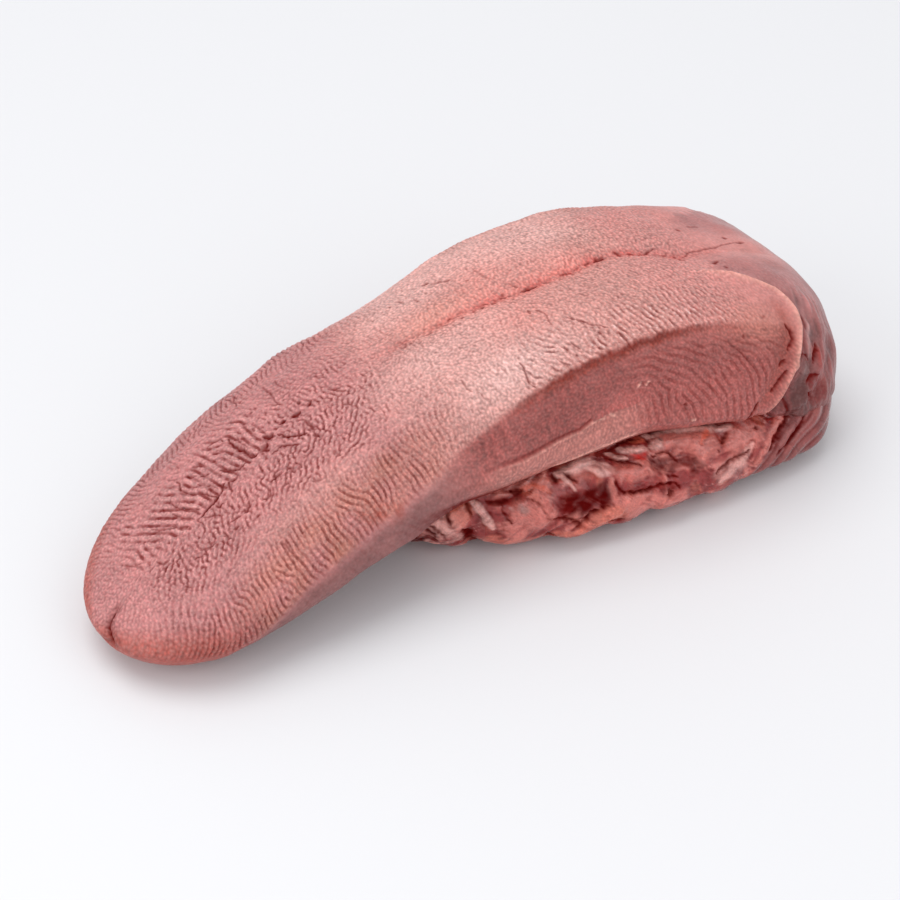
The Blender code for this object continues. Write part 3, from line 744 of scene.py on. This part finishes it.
    # painted highlight: the ridge crests of the middle blade drawn paler, as if lit
    paint("paintedCrestLight", 0.5 * middle * ramp(ridges, 0.1, 0.95) * patchy)
    flank = ramp(-inside, -1, 3) * between(x, 128, 158, 290, 302)
    paint("flank", flank)
    lighten(0.15 * flank * waves(2.4 * x, 0.6 * arc, 8, 68))
    paint("darkFlank", flank * ramp(x + 0.4 * absArc + 9 * cloud, 215, 255))
    # painted shade: the upper flank darker just below the shoulder edge
    lighten(-0.16 * flank * hump(inside + 9, 8) * ramp(x, 190, 225))
    paint("shoulder", 0.95 * shoulderOn * hump(inside + 1.8 + 1.6 * jag, 2.1))
    # painted shade: a further darkening in a band below the shoulder edge
    lighten(-0.07 * shoulderOn * between(-inside, 3, 6, 14, 26))
    paint("tan", 0.6 * hump(inside, 9) * hump(x - 280, 16))
    paint("shoulder", 0.7 * near * bell(f["bruise"], 3.2) * ramp(noise(6, 54), -0.6, 0.5))
    paint("membrane", 0.8 * underMembrane * ramp(fromMembrane, 0.2, 1.5) * between(x, 144, 165, 214, 232))
    # painted highlight along the crest of the membrane's upper ridge, in the pale fold tone
    paint("paleFold", 0.5 * hump(fromMembrane, 0.7) * membraneOn * ramp(noise(9, 60), -1.6, 0))
    paint("paleFold", 0.8 * hump(fromMembraneLow, 0.9) * lowOn)
    # painted highlight: the glints in the pale fold tone
    paint("paleFold", 0.9 * np.minimum(paintedGlint, 1))
    behindRidge = np.where(arc < 0, ramp(pastRidge, 0, 5), ramp(pastRidge, 2, 22)) * ramp(absArc, 4, 26)
    paint("mucosa", 0.9 * behindRidge)
    paint("mauve", 0.85 * behindRidge * ramp(absArc, 52, 34))
    paint("mucosa", ramp(x, 312, 336) * 0.7)
    paint("redZone", 0.75 * redZone)
    paint("greyZone", 0.7 * greyZone)
    paint("paleStreak", 0.75 * paleStreak)
    lighten(0.36 * streaks)
    paint("bulge", 0.92 * lens * (1 - 0.2 * streaks))
    paint("lensHead", 0.9 * lensHead)
    paint("redEdge", 0.85 * redRim)
    paint("blood", 0.9 * pool)
    # dark red in the hollow behind the back ridge, partly its own red and partly painted shade
    paint("redZone", 0.7 * hump(pastRidge - 5.5, 3) * between(-arc, 24, 38, 92, 104))
    # painted shade in the hollow just before the back ridge
    paint("shoulder", 0.55 * hump(pastRidge + 6.5, 3.4) * between(-arc, 36, 48, 84, 96))
    paint("paleFold", 0.8 * hump(ridgeNear, 1.5) * ridgeOn * (1 - 0.5 * ramp(alongRidge, 0.6, 0.8)))
    paint("bulge", 0.45 * ramp(x, 296, 306) * ramp(-arc, 66, 84))
    # painted shade: the hidden skin under the lip drawn to the dark under tone
    paint("under", ramp(-fromLip, 4, 14) * overRoot)
    speck = np.clip(onBack + 0.35 + 0.8 * flank, 0, 1.1) * (0.26 + 0.06 * strokes)
    speck = speck * (pebbles + 0.45 * noise(4, 56))
    lighten(speck + 0.05 * cloud + 0.05 * noise(6, 69))
    # painted highlight: paler ridge crests near the shoulder
    paint("pale", nearShoulder * 0.5 * ramp(ridges, 0.3, 1) * patchy)
    # painted highlight: near-white glints on the ridge crests just inside the shoulder
    paintedGleam = nearShoulder * hump(inside - 7, 10) * ramp(ridges + 0.6 * pebbles, 0.6, 1.3)
    paint("paintedGleam", 0.75 * paintedGleam * ramp(noise(5, 63), 0.0, 0.9))
    # the wrinkles' grooves drawn to the dark groove tone, partly their own deep red and partly painted shade
    grooveDarkening = 1.1 * strength + (0.20 * middle - 0.10 * edgeBand - 0.04 * fingers) * (0.45 + 0.65 * patchy)
    grooveShadeAndTone = np.clip(grooveDarkening * 1.8, 0, 0.8) * groove * breaks
    specks = (onBack + 0.5 * flank) * ramp(-pebbles, 0.4, 0.95)
    specks = specks * (0.12 + 0.36 * ramp(noise(9, 61), -0.2, 1.0))
    # painted shade: a dark line in the crevice just under the lip
    underLip = 0.8 * ramp(-fromLip, 1.5, 5) * overRoot
    # painted shade in creases: above the membrane's ridges, in the tip's notch, in the middle furrow's slit,
    # under the lip, in the valley behind the back ridge and under the shoulder edge
    shadedCreases = 0.55 * membraneCrease + 0.6 * lowCrease + 0.3 * notchValley + 0.75 * furrowSlit + underLip
    shadedCreases = shadedCreases + valleyShade * (0.25 + 0.55 * ramp(-arc, 62, 82))
    shadedCreases = shadedCreases + 0.4 * shoulderOn * hump(inside + 1.2 + 1.6 * jag, 1.1) * near
    # dark mask: the painted shade of grooves, creases, cracks and pits, with the dark specks
    dark = np.maximum(grooveShadeAndTone + specks + shadedCreases, np.maximum(crackShade, pitShade))
    wet = np.clip(0.35 + 0.4 * flank + 0.3 * ramp(x, 290, 302) + 0.2 * noise(22, 55), 0, 1)
    grain = np.clip(onBack * (0.5 + 0.5 * strokes) + 0.25, 0, 1)
    masks = dict(dark=np.clip(dark, 0, 1), wet=wet, grain=grain)
    addSlices("skin", s["slices"], points, tone, masks, (0.0, bodyForm["length"]), material)


# The cut root: fat and muscle under the base

rootForm = dict(
    start=112.0, finish=341.0, roundFront=30, roundBack=34, widest=14.0, base=0.0,
    halfWidth=((112, 34), (135, 40), (165, 56), (200, 67), (240, 67), (280, 63), (310, 58), (341, 47)),
    top=((112, 24), (140, 36), (200, 42), (260, 42), (341, 40)),
    backCrease=((-90, 266), (-75, 276), (-67, 284), (-59, 293), (-52, 299), (-45, 305), (-38, 311),
                (0, 316)),
    slices=2, alongCount=401, nearFrom=-52, nearTo=66, nearCount=200, restCount=130,
)

# Heights of its folds, fibres and marks, millimetres
rootRelief = dict(
    bundle=1.0, bundleLength=23, fold=0.8, thread=0.16, sinew=0.05, fibre=0.02, vein=0.35, strand=0.48,
    cut=0.7, backCrease=0.4, backCreaseLength=8, backSwell=0.6,
)

rootTones = dict(
    fat=(0.61, 0.168, 0.137), paleFat=(0.86, 0.42, 0.37), warmFat=(0.66, 0.160, 0.105),
    greyFat=(0.54, 0.205, 0.178), muscle=(0.25, 0.013, 0.012), darkMuscle=(0.10, 0.003, 0.003),
    orange=(0.74, 0.125, 0.070), red=(0.56, 0.012, 0.008), grey=(0.36, 0.150, 0.130),
    mucosa=(0.21, 0.038, 0.036), fascia=(0.72, 0.28, 0.25), cut=(0.09, 0.003, 0.003),
)


def rootSurface(x, angle):
    # wide low superellipse sections, flat below, closing round both ends
    f = rootForm
    grown = rounded(x - f["start"], f["roundFront"], 2.2) * rounded(f["finish"] - x, f["roundBack"], 2.2)
    up = (curve(f["top"], x) - f["widest"]) * grown
    down = (f["widest"] - f["base"]) * grown ** 0.5
    across, height = superellipse(angle, curve(f["halfWidth"], x) * grown, up, down, 2.4, 3.0)
    return np.stack([x + 0 * across, curve(bodyForm["bend"], x) - across, f["widest"] + height], -1), grown


# Broad patches of the root: tone, how much of it, half width, lift, then a line as x, arc, x, arc ...
rootPatches = (
    ("darkMuscle", 0.9, 5.5, -1.5, 122, -38, 128, -47, 132, -56),
    ("paleFat", 0.6, 6.5, 2.5, 137.5, -45.5, 145, -52),
    ("warmFat", 0.7, 4.0, 2.0, 149, -47.5, 150.5, -50.5),
    ("fat", 0.9, 6.5, 2.4, 170.5, -62, 179, -68),
    ("grey", 0.85, 2.2, 0.3, 173, -61, 173, -61.5),
    ("darkMuscle", 0.95, 5.5, -2.6, 190.5, -68.5, 196, -71.5, 201, -68.5, 204.5, -70.5),
    ("darkMuscle", 0.75, 3.5, -2.0, 206, -66.5, 207, -68.5),
    ("muscle", 0.8, 4.5, 0.0, 186.5, -61, 188.5, -68.5),
    ("muscle", 0.8, 4.0, -0.6, 157.5, -49, 163.5, -58),
    ("muscle", 0.6, 4.0, 0.6, 160, -62, 157.5, -64),
    ("fat", 0.7, 4.5, 1.8, 214.5, -62, 225.5, -64),
    ("muscle", 0.85, 2.6, 0.2, 215, -68.5, 225, -69.5),
    ("darkMuscle", 0.6, 4.5, -1.2, 232, -63, 237.5, -63.5),
    ("darkMuscle", 0.6, 3.6, -1.5, 243.5, -64.5, 247.5, -68),
    ("muscle", 0.6, 4.0, -0.5, 239.5, -70.5, 247.5, -72),
    ("fat", 0.9, 5.0, 1.6, 239, -54.5, 256, -58),
    ("fat", 0.8, 6.5, 1.0, 269, -62.5, 276.5, -61.5),
    ("greyFat", 0.75, 5.0, 0.6, 258, -74.5, 267, -72.5),
    ("muscle", 0.5, 3.5, 0.2, 254.5, -67.5, 261, -66.5),
    ("fat", 0.6, 3.5, 0.8, 250.5, -63.5, 256.5, -62.5),
)

# Strands of fat and fibre lying on it, with round backs painted lighter along the top, a painted highlight,
# and painted shadow in the creases beside them
rootStrands = (
    ("fat", 0.8, 2.2, 1.0, 163.5, -47.5, 171, -50.5, 177, -52.5, 182.5, -54.5, 186, -56),
    ("paleFat", 0.95, 1.5, 1.8, 154.5, -46.5, 155.5, -49, 156.5, -52, 158.5, -56.5, 159.5, -60, 160, -63),
    ("fat", 0.8, 1.5, 1.0, 161.5, -61.5, 163.5, -64.5, 166, -68, 168.5, -69.5, 172, -72.5),
    ("paleFat", 0.95, 1.2, 1.4, 191, -56, 192.5, -58.5, 193.5, -60.5, 194, -63),
    ("paleFat", 0.9, 2.4, 1.4, 190, -54.5, 193.5, -55, 197.5, -54.5, 202, -54.5, 206, -54.5),
    ("paleFat", 0.8, 3.2, 1.2, 204, -57, 208, -58, 211.5, -60),
    ("paleFat", 0.95, 1.2, 1.2, 213, -52.5, 215, -53.5, 217.5, -56, 220.5, -57),
    ("paleFat", 0.95, 1.5, 1.4, 219, -51.5, 221.5, -53.5, 224, -54.5, 227.5, -55, 229.5, -56.5),
    ("paleFat", 1, 1.7, 1.2, 231.5, -50, 234, -51),
    ("paleFat", 0.9, 2.3, 1.4, 232, -56, 234.5, -55, 236.5, -54),
    ("fat", 0.9, 1.5, 1.2, 210, -64, 209.5, -67.5, 209.5, -71.5, 211, -75.5),
    ("warmFat", 0.85, 4.2, 2.2, 185, -81, 190, -84, 195, -83.5, 200, -82.5, 205, -80, 210, -78.5, 215.5,
     -77.5),
    ("warmFat", 0.6, 3.6, 1.6, 158.5, -68, 163, -73, 169.5, -79.5, 175, -81.5, 180.5, -83.5),
    ("fat", 0.9, 5.5, 1.8, 214, -74.5, 221.5, -78.5, 230.5, -80.5, 240, -80.5),
    ("paleFat", 0.6, 2.0, 1.0, 275.5, -64.5, 272, -68.5, 267.5, -72, 262, -75.5, 257.5, -78.5),
    ("paleFat", 0.8, 2.0, 1.4, 235.5, -50.5, 240, -50, 247.5, -51.5, 256, -53.5, 262, -54.5, 269, -55.5),
    ("fat", 0.8, 1.7, 1.2, 310, -36.7, 302.3, -44.8, 294.7, -53.7, 288.6, -61, 281.8, -67.6, 276, -73),
    ("fat", 0.7, 1.5, 1.2, 301.6, -55.8, 295.5, -62.7, 288.5, -69.5, 282, -75),
    ("orange", 0.8, 1.2, 0.3, 252.5, -59.5, 256, -57, 258, -55),
    ("orange", 0.8, 1.2, 0.6, 225, -51, 228.5, -51, 230, -52),
    ("red", 0.95, 1.4, 0.5, 223.5, -57, 226, -58.5, 228.5, -57),
    ("orange", 0.75, 1.2, 0.6, 174, -53.5, 178, -54.5, 182, -57.5, 184, -60.5),
    ("paleFat", 0.5, 2.2, 1.0, 136, -40.5, 139.5, -42, 143, -45, 145, -46.5),
    ("paleFat", 0.6, 1.5, 1.0, 141.5, -48, 144, -52, 147, -57.5, 149.5, -62),
    ("paleFat", 0.6, 1.2, 0.8, 136.5, -56, 140.5, -60, 144.5, -60.5, 147.5, -61),
    ("fat", 0.7, 1.4, 0.7, 164.5, -62, 167, -65.5, 170, -68),
)

# Cuts and holes in it, as (half width, depth): their lines
rootCuts = {
    (0.6, 0.6): ((179.5, -68, 183, -71), (174.5, -58, 177.5, -60.5, 179.5, -63.5, 180, -67)),
    (0.6, 0.8): ((165, -53.5, 165, -57, 165.5, -61, 167, -64.5),),
    (0.7, 0.8): ((136, -44, 139, -48, 142, -53, 143.5, -57),),
    (0.7, 1.2): ((213.5, -51, 217, -50.5, 221, -49.5, 225.5, -49.5, 228.5, -50.5),),
    (0.8, 0.8): ((236.5, -52, 237.5, -53.5), (259.5, -64, 259, -64.5)),
    (0.8, 1.2): (
        (153, -46.5, 153, -50, 153.5, -53.5),
        (230, -59.5, 232.5, -58.5, 235.5, -58.5, 238, -59.5, 239.5, -62, 240.5, -64.5),
        (308, -55, 301.1, -62, 294.7, -67.4, 287, -73)),
    (0.8, 1.4): ((211.5, -54.5, 215, -56, 220, -58.5, 223, -60.5, 224, -62),),
    (0.9, 1.0): ((233, -68, 235.5, -69.5, 238.5, -70.5), (137, -52, 139, -55, 141, -57)),
    (0.9, 1.5): ((146.5, -43, 145, -45.5, 145.5, -49, 146, -51.5),),
    (0.9, 1.8): (
        (211.5, -64.5, 211.5, -68, 213.5, -70.5, 217.5, -72, 222, -72.5, 226, -72, 230, -71.5,
         233.5, -72, 237, -73, 238.5, -75.5),
        (255.5, -73.5, 257.5, -72, 261.5, -70.5, 265, -69.5, 269, -68.5, 272, -68, 273, -67)),
    (1.0, 1.2): ((134, -40.5, 134.5, -42.5), (206.5, -82.5, 210, -82.5, 213, -83)),
    (1.0, 1.4): ((133.9, -41.2, 135.4, -45.3, 138, -50.3, 140.2, -54.6),),
    (1.1, 1.2): ((181.5, -80, 183.5, -82),),
    (1.2, 1.0): ((262, -61.5, 263.5, -59.5, 266, -58),),
    (1.2, 1.5): ((160, -51, 162.5, -52.5, 165, -54, 167.5, -55), (230.5, -52.5, 232.5, -53.5)),
    (1.3, 1.5): ((186, -86.5, 189, -87),),
    (1.3, 2.0): ((170, -52.5, 172.5, -53.5, 174.5, -54.5),),
    (1.3, 2.5): (
        (183.5, -71.5, 187, -73, 190.5, -76, 194, -79.5, 196.5, -78, 200, -76.5, 204, -75.5, 207, -75),),
    (1.3, 2.6): ((312, -39, 306, -45.4, 300, -52, 294, -59.5, 288, -65.5, 283, -70),),
    (1.4, 2.0): ((188, -54, 188, -56, 188, -57.5), (193, -55.5, 194.5, -58, 196, -60.5)),
    (1.5, 2.0): ((279.5, -58.5, 279.5, -59.5),),
    (1.6, 2.2): ((232.5, -76.5, 235, -76),),
    (1.8, 3.5): ((149.5, -57, 151, -60.5, 152, -65.5, 156.5, -73),),
}


def makeRoot(material):
    # a closed form like the skin's, with folds of noise, patches, strands and cuts added to it
    f = rootForm
    h = rootRelief
    t = np.linspace(0, 1, f["alongCount"])
    eased = 0.3 * (0.5 - 0.5 * np.cos(np.pi * t)) + 0.7 * t
    stationX = f["start"] + 0.1 + (f["finish"] - f["start"] - 0.2) * eased
    nearAngles = np.linspace(f["nearFrom"], f["nearTo"], f["nearCount"], endpoint=False)
    rest = np.linspace(f["nearTo"], 360 + f["nearFrom"], f["restCount"], endpoint=False)
    angle = np.radians(np.concatenate([nearAngles, rest]))
    x = stationX[:, None] + 0 * angle[None, :]
    base, grown = rootSurface(x, angle[None, :])
    arc = arcFromTop(base, angle)
    z = base[..., 2]

    def noise(size, seed):
        # soft unevenness over this surface
        return waves(x, arc, size, seed)

    shown = (arc < 0) * between(x, 112, 122, 304, 318)

    # warped fibres and folds at three sizes, running aslant
    wx = x + 6 * noise(30, 61) + 0.5 * arc
    wa = arc + 5 * noise(24, 62)
    bundles = np.sin(2 * np.pi * (x + 20 * np.sin(angle)[None, :]) / h["bundleLength"])
    folds = 1 - np.abs(waves(wx, wa * 1.5, 19, 63))
    threads = 1 - np.abs(waves(wx * 1.1 + 3 * folds, wa * 2.2, 7, 64))
    fibres = waves(wx + 4 * noise(30, 65), wa * 3.2, 3.2, 66)
    sinews = 1 - np.abs(waves(wx * 0.8 + 2.5 * threads, wa * 1.6, 4.2, 77))
    relief = h["bundle"] * bundles + h["fold"] * (folds - 0.5) + h["thread"] * (threads - 0.5)
    relief = relief + h["sinew"] * (sinews - 0.5) + h["fibre"] * fibres
    fatness = ramp(0.7 * folds + 0.35 * threads + 0.5 * noise(20, 67), 0.55, 1.15)
    tone = np.zeros(x.shape + (3,)) + np.array(rootTones["muscle"])

    def paint(colour, amount):
        # draws the colours towards another
        tone[:] = toned(tone, colour, amount)

    paint(rootTones["fat"], fatness)
    paint(rootTones["fascia"], 0.5 * ramp(threads * folds, 0.75, 0.95))
    paint(rootTones["warmFat"], 0.5 * ramp(noise(12, 68), 0.3, 1.1))
    veins = hump(waves(wx, wa * 1.4, 11, 79), 0.13) * ramp(noise(9, 80), -0.7, 0.3)
    paint(rootTones["muscle"], 0.9 * veins)
    relief = relief - h["vein"] * veins
    tone *= (1 + 0.04 * fibres + 0.16 * (threads - 0.5) + 0.10 * (sinews - 0.6))[..., None]
    strayX = 0.9 * noise(10, 69) + 0.4 * noise(4, 74)
    strayArc = 0.9 * noise(10, 70) + 0.4 * noise(4, 75)
    shade = np.zeros_like(x)
    for name, amount, width, lift, *flat in rootPatches:
        d = nearLine(x + strayX, arc + strayArc, pairs(flat)) / width
        cover = ramp(d, 1.25, 0.45) * shown
        relief = relief * (1 - 0.6 * cover) + lift * hump(d, 0.85) * shown
        patch = np.array(rootTones[name]) * (1 + 0.14 * (sinews - 0.6) + 0.05 * fibres)[..., None]
        if name in ("muscle", "darkMuscle"):
            cover = cover * (0.6 + 0.4 * ramp(noise(4.5, 78), -0.9, 0.5))
        paint(patch, cover * amount)
        if name == "darkMuscle":
            shade = np.maximum(shade, 0.75 * cover * amount)
    strandShadow = np.zeros_like(x)
    uneven = noise(6, 76)
    for name, amount, width, lift, *flat in rootStrands:
        near, along = followLine(x + 0.5 * strayX, arc + 0.5 * strayArc, pairs(flat))
        taper = 0.55 + 0.45 * (1 - np.abs(2 * along - 1) ** 3)
        d = near / (width * taper * (1.1 + 0.22 * uneven))
        back = hump(d, 0.75)
        cover = ramp(d, 1.35, 0.55) * shown * (0.7 + 0.3 * ramp(threads, 0.3, 0.8))
        relief = relief * (1 - 0.4 * cover) + h["strand"] * lift * taper * back * shown
        # painted highlight: each strand lighter along its round back
        shine = 0.84 + 0.2 * back + 0.04 * fibres + 0.08 * (sinews - 0.6)
        strand = np.array(rootTones[name]) * shine[..., None]
        paint(strand, cover * amount)
        # painted shadow in the crease beside each strand
        shadow = 0.45 * hump(d - 1.3, 0.3) * shown * ramp(strayX + strayArc, -0.3, 1.2)
        strandShadow = np.maximum(strandShadow * (1 - cover), shadow)
        shade = shade * (1 - cover)
    # the cuts' depth and their painted shade
    cut, cutShade = drawMarks(x, arc, rootCuts, 0.35)
    pastCrease = x - curve(f["backCrease"], arc)
    behind = ramp(pastCrease, 0, 4) * ramp(np.abs(arc), 104, 88)
    paint(rootTones["mucosa"], 0.85 * behind)
    shadedCreases = np.sin(2 * np.pi * pastCrease / h["backCreaseLength"] + 1.5 * waves(x, z, 30, 71))
    relief = mix(relief, h["backCrease"] * shadedCreases + h["backSwell"] * waves(x, z, 24, 72), behind)
    relief = (relief - h["cut"] * cut) * ramp(-np.sin(angle)[None, :], 0.85, 0.35) * grown ** 0.7
    points = base + gridNormals(base) * relief[..., None]
    points[..., 2] = np.maximum(points[..., 2], f["base"])
    pores = 0.22 * ramp(0.65 - threads * sinews, 0.38, 0.6) * (1 - behind) * (1 - 0.75 * fatness)
    # painted shade: darker where the root's surface comes down to the floor
    contactShade = 0.55 * ramp(points[..., 2], 3.4, 0.4)
    dark = np.maximum(np.maximum(cutShade, strandShadow), shade) + pores + contactShade
    # painted shade in the troughs of the back end's creases
    dark = np.clip(dark + 0.45 * behind * ramp(-shadedCreases, 0.3, 1), 0, 1)
    wet = np.clip(0.65 + 0.4 * noise(9, 73), 0, 1)
    tone *= (0.94 + 0.20 * ramp(noise(8, 81), -1.2, 1.2) * shown)[..., None]
    tips = (f["start"], f["finish"])
    addSlices("root_meat", f["slices"], points, tone, dict(dark=dark, wet=wet), tips, material)


# Materials

def newMaterial(name):
    # a material with its node tree and its Principled shader
    material = bpy.data.materials.new(name)
    material.use_nodes = True
    return material, material.node_tree, material.node_tree.nodes["Principled BSDF"]


def setInputs(tree, node, inputs):
    # each input takes a constant, or a link where an output socket is given
    for key, value in inputs.items():
        if isinstance(value, bpy.types.NodeSocket):
            tree.links.new(value, node.inputs[key])
        else:
            node.inputs[key].default_value = value


def addNode(tree, kind, inputs, **settings):
    # a shader node with its settings and inputs
    node = tree.nodes.new("ShaderNode" + kind)
    for key, value in settings.items():
        setattr(node, key, value)
    setInputs(tree, node, inputs)
    return node


def calculated(tree, operation, *values):
    # the result of one Math node
    return addNode(tree, "Math", dict(enumerate(values)), operation=operation).outputs[0]


def ranged(tree, value, **ends):
    # value carried from one range to another, 0 to 1 where nothing is said
    names = dict(low="From Min", high="From Max", toLow="To Min", toHigh="To Max")
    inputs = {names[key]: end for key, end in ends.items()}
    return addNode(tree, "MapRange", {"Value": value, **inputs}).outputs["Result"]


def mixed(tree, amount, first, second):
    # first * (1 - amount) + second * amount
    return addNode(tree, "Mix", {"Factor": amount, 6: first, 7: second}, data_type="RGBA").outputs[2]


def fleshGroup():
    # moist flesh, used by every material: colour * (1 + mottle * (patches + grain)), then veined where
    # the patches are high; its height is the grain
    group = bpy.data.node_groups.new("moistFlesh", "ShaderNodeTree")
    face = group.interface
    for name in ("Color", "Vein Color"):
        face.new_socket(name, in_out="INPUT", socket_type="NodeSocketColor")
    for name, value in (("Patch Size", 90), ("Grain Size", 900), ("Mottle", 0.3), ("Vein Amount", 0.2)):
        face.new_socket(name, in_out="INPUT", socket_type="NodeSocketFloat").default_value = value
    face.new_socket("Color", in_out="OUTPUT", socket_type="NodeSocketColor")
    face.new_socket("Height", in_out="OUTPUT", socket_type="NodeSocketFloat")
    given = group.nodes.new("NodeGroupInput").outputs
    where = addNode(group, "TexCoord", {}).outputs["Object"]

    def cloud(size, detail):
        # noise on Object coordinates
        scaled = {"Vector": where, "Scale": size, "Detail": detail}
        return addNode(group, "TexNoise", scaled).outputs["Fac"]

    patches = cloud(given["Patch Size"], 4)
    grain = cloud(given["Grain Size"], 3)
    spread = [ranged(group, value, low=0.3, high=0.7, toLow=-1) for value in (patches, grain)]
    both = calculated(group, "ADD", *spread)
    swing = calculated(group, "MULTIPLY_ADD", both, given["Mottle"], 1.0)
    shade = addNode(group, "VectorMath", {0: given["Color"], "Scale": swing}, operation="SCALE").outputs[0]
    veins = calculated(group, "MULTIPLY", ranged(group, patches, low=0.52, high=0.72), given["Vein Amount"])
    out = group.nodes.new("NodeGroupOutput")
    setInputs(group, out, {"Color": mixed(group, veins, shade, given["Vein Color"]), "Height": grain})
    return group


skinLook = dict(
    flesh={"Patch Size": 70, "Grain Size": 700, "Mottle": 0.10, "Vein Amount": 0.18,
           "Vein Color": (0.50, 0.17, 0.15, 1)},
    sunk=skinTones["groove"], dry=0.52, wet=0.30, bump=0.35, bumpHeight=0.0003, shine=0.30, coat=0.12,
    coatRoughness=0.2, scatter=(1.0, 0.35, 0.25),
    dots=dict(scale=640, amount=0.22, tone=(0.80, 0.48, 0.43, 1), bump=0.75, bumpHeight=0.00045),
)

rootLook = dict(
    flesh={"Patch Size": 130, "Grain Size": 900, "Mottle": 0.16, "Vein Amount": 0.3,
           "Vein Color": (0.42, 0.08, 0.06, 1)},
    sunk=rootTones["cut"], dry=0.45, wet=0.22, bump=0.5, bumpHeight=0.0004, shine=0.38, coat=0.50,
    coatRoughness=0.09, scatter=(1.0, 0.3, 0.2),
)


def fleshMaterial(name, flesh, look):
    # the mesh's own colours, mottled, drawn to the sunk tone by the dark mask (dark specks, and painted
    # shade in grooves, creases and cuts), and glossy where wet; grooves and other dark parts hold no shine;
    # papillae, where the look has them, are fine pale dots
    material, tree, shader = newMaterial(name)

    def attribute(key, output):
        # a colour or mask from the mesh's points
        return addNode(tree, "Attribute", {}, attribute_name=key).outputs[output]

    def raised(height, strength, distance, under):
        # a bump of the given height, over the one under it
        return addNode(tree, "Bump", {"Height": height, "Strength": strength, "Distance": distance, **under})

    tinted = {"Color": attribute("tint", "Color"), **look["flesh"]}
    group = addNode(tree, "Group", tinted, node_tree=flesh)
    dark = attribute("dark", "Fac")
    colour = group.outputs["Color"]
    under = {}
    if "dots" in look:
        d = look["dots"]
        where = addNode(tree, "TexCoord", {}).outputs["Object"]
        cells = addNode(tree, "TexVoronoi", {"Vector": where, "Scale": d["scale"]})
        dots = ranged(tree, cells.outputs["Distance"], low=0.75, high=0.15)
        dots = calculated(tree, "MULTIPLY", dots, attribute("grain", "Fac"))
        colour = mixed(tree, calculated(tree, "MULTIPLY", dots, d["amount"]), colour, d["tone"])
        under = {"Normal": raised(dots, d["bump"], d["bumpHeight"], {}).outputs["Normal"]}
    bump = raised(group.outputs["Height"], look["bump"], look["bumpHeight"], under)
    setInputs(tree, shader, {
        "Base Color": mixed(tree, dark, colour, look["sunk"] + (1,)),
        "Roughness": ranged(tree, attribute("wet", "Fac"), toLow=look["dry"], toHigh=look["wet"]),
        "Normal": bump.outputs["Normal"],
        "Specular IOR Level": ranged(tree, dark, high=0.7, toLow=look["shine"], toHigh=0),
        "Coat Weight": ranged(tree, dark, high=0.7, toLow=look["coat"], toHigh=0),
        "Coat Roughness": look["coatRoughness"],
        "Subsurface Weight": 0.10,
        "Subsurface Radius": look["scatter"],
        "Subsurface Scale": 0.003,
    })
    return material


# Floor, light and camera

studio = dict(
    floorTone=(0.76, 0.76, 0.775), floorReach=6.0, worldTone=(0.93, 0.94, 0.96), worldStrength=0.78,
    lamps=(("keyLight", (-0.45, 0.75, 3.0), 2.6, 40), ("sideLight", (-1.2, -0.2, 0.8), 0.9, 4.0),
           ("frontLight", (0.5, -1.2, 0.9), 1.2, 3.6)),
    lampsAim=(0, 0, 0.03),
    aim=(0.027, 0.048, -0.03), turn=-30.0, tilt=40.6, away=0.916, lens=80, frameShift=0.00275,
)


def makeStudio():
    # a square floor, lamps turned to the part, and a camera at aim + away * (direction of turn and tilt)
    s = studio
    mesh = bpy.data.meshes.new("floor")
    r = s["floorReach"]
    mesh.from_pydata([(-r, -r, 0), (r, -r, 0), (r, r, 0), (-r, r, 0)], [], [(0, 1, 2, 3)])
    floor = bpy.data.objects.new("floor", mesh)
    bpy.context.scene.collection.objects.link(floor)
    material, tree, shader = newMaterial("paleFloor")
    setInputs(tree, shader, {"Base Color": s["floorTone"] + (1,), "Roughness": 0.5})
    mesh.materials.append(material)
    world = bpy.data.worlds.new("softRoom")
    world.use_nodes = True
    sky = world.node_tree.nodes["Background"]
    setInputs(world.node_tree, sky, {"Color": s["worldTone"] + (1,), "Strength": s["worldStrength"]})
    bpy.context.scene.world = world
    for name, at, size, power in s["lamps"]:
        lamp = bpy.data.lights.new(name, "AREA")
        lamp.shape = "DISK"
        lamp.size = size
        lamp.energy = power
        holder = bpy.data.objects.new(name, lamp)
        holder.location = at
        toPart = Vector(s["lampsAim"]) - Vector(at)
        holder.rotation_euler = toPart.to_track_quat("-Z", "Y").to_euler()
        bpy.context.scene.collection.objects.link(holder)
    turn = math.radians(s["turn"])
    tilt = math.radians(s["tilt"])
    aim = Vector(s["aim"]) - Vector((math.cos(turn), math.sin(turn), 0)) * s["frameShift"]
    back = Vector((math.sin(turn) * math.cos(tilt), -math.cos(turn) * math.cos(tilt), math.sin(tilt)))
    lens = bpy.data.cameras.new("camera")
    lens.lens = s["lens"]
    lens.sensor_width = 36
    camera = bpy.data.objects.new("camera", lens)
    camera.location = aim + back * s["away"]
    camera.rotation_euler = (-back).to_track_quat("-Z", "Y").to_euler()
    bpy.context.scene.collection.objects.link(camera)
    bpy.context.scene.camera = camera


flesh = fleshGroup()
makeSkin(fleshMaterial("tongueSkin", flesh, skinLook))
print("skin made")
makeRoot(fleshMaterial("cutRoot", flesh, rootLook))
print("root made")
makeStudio()
bpy.context.scene.view_settings.view_transform = "Standard"
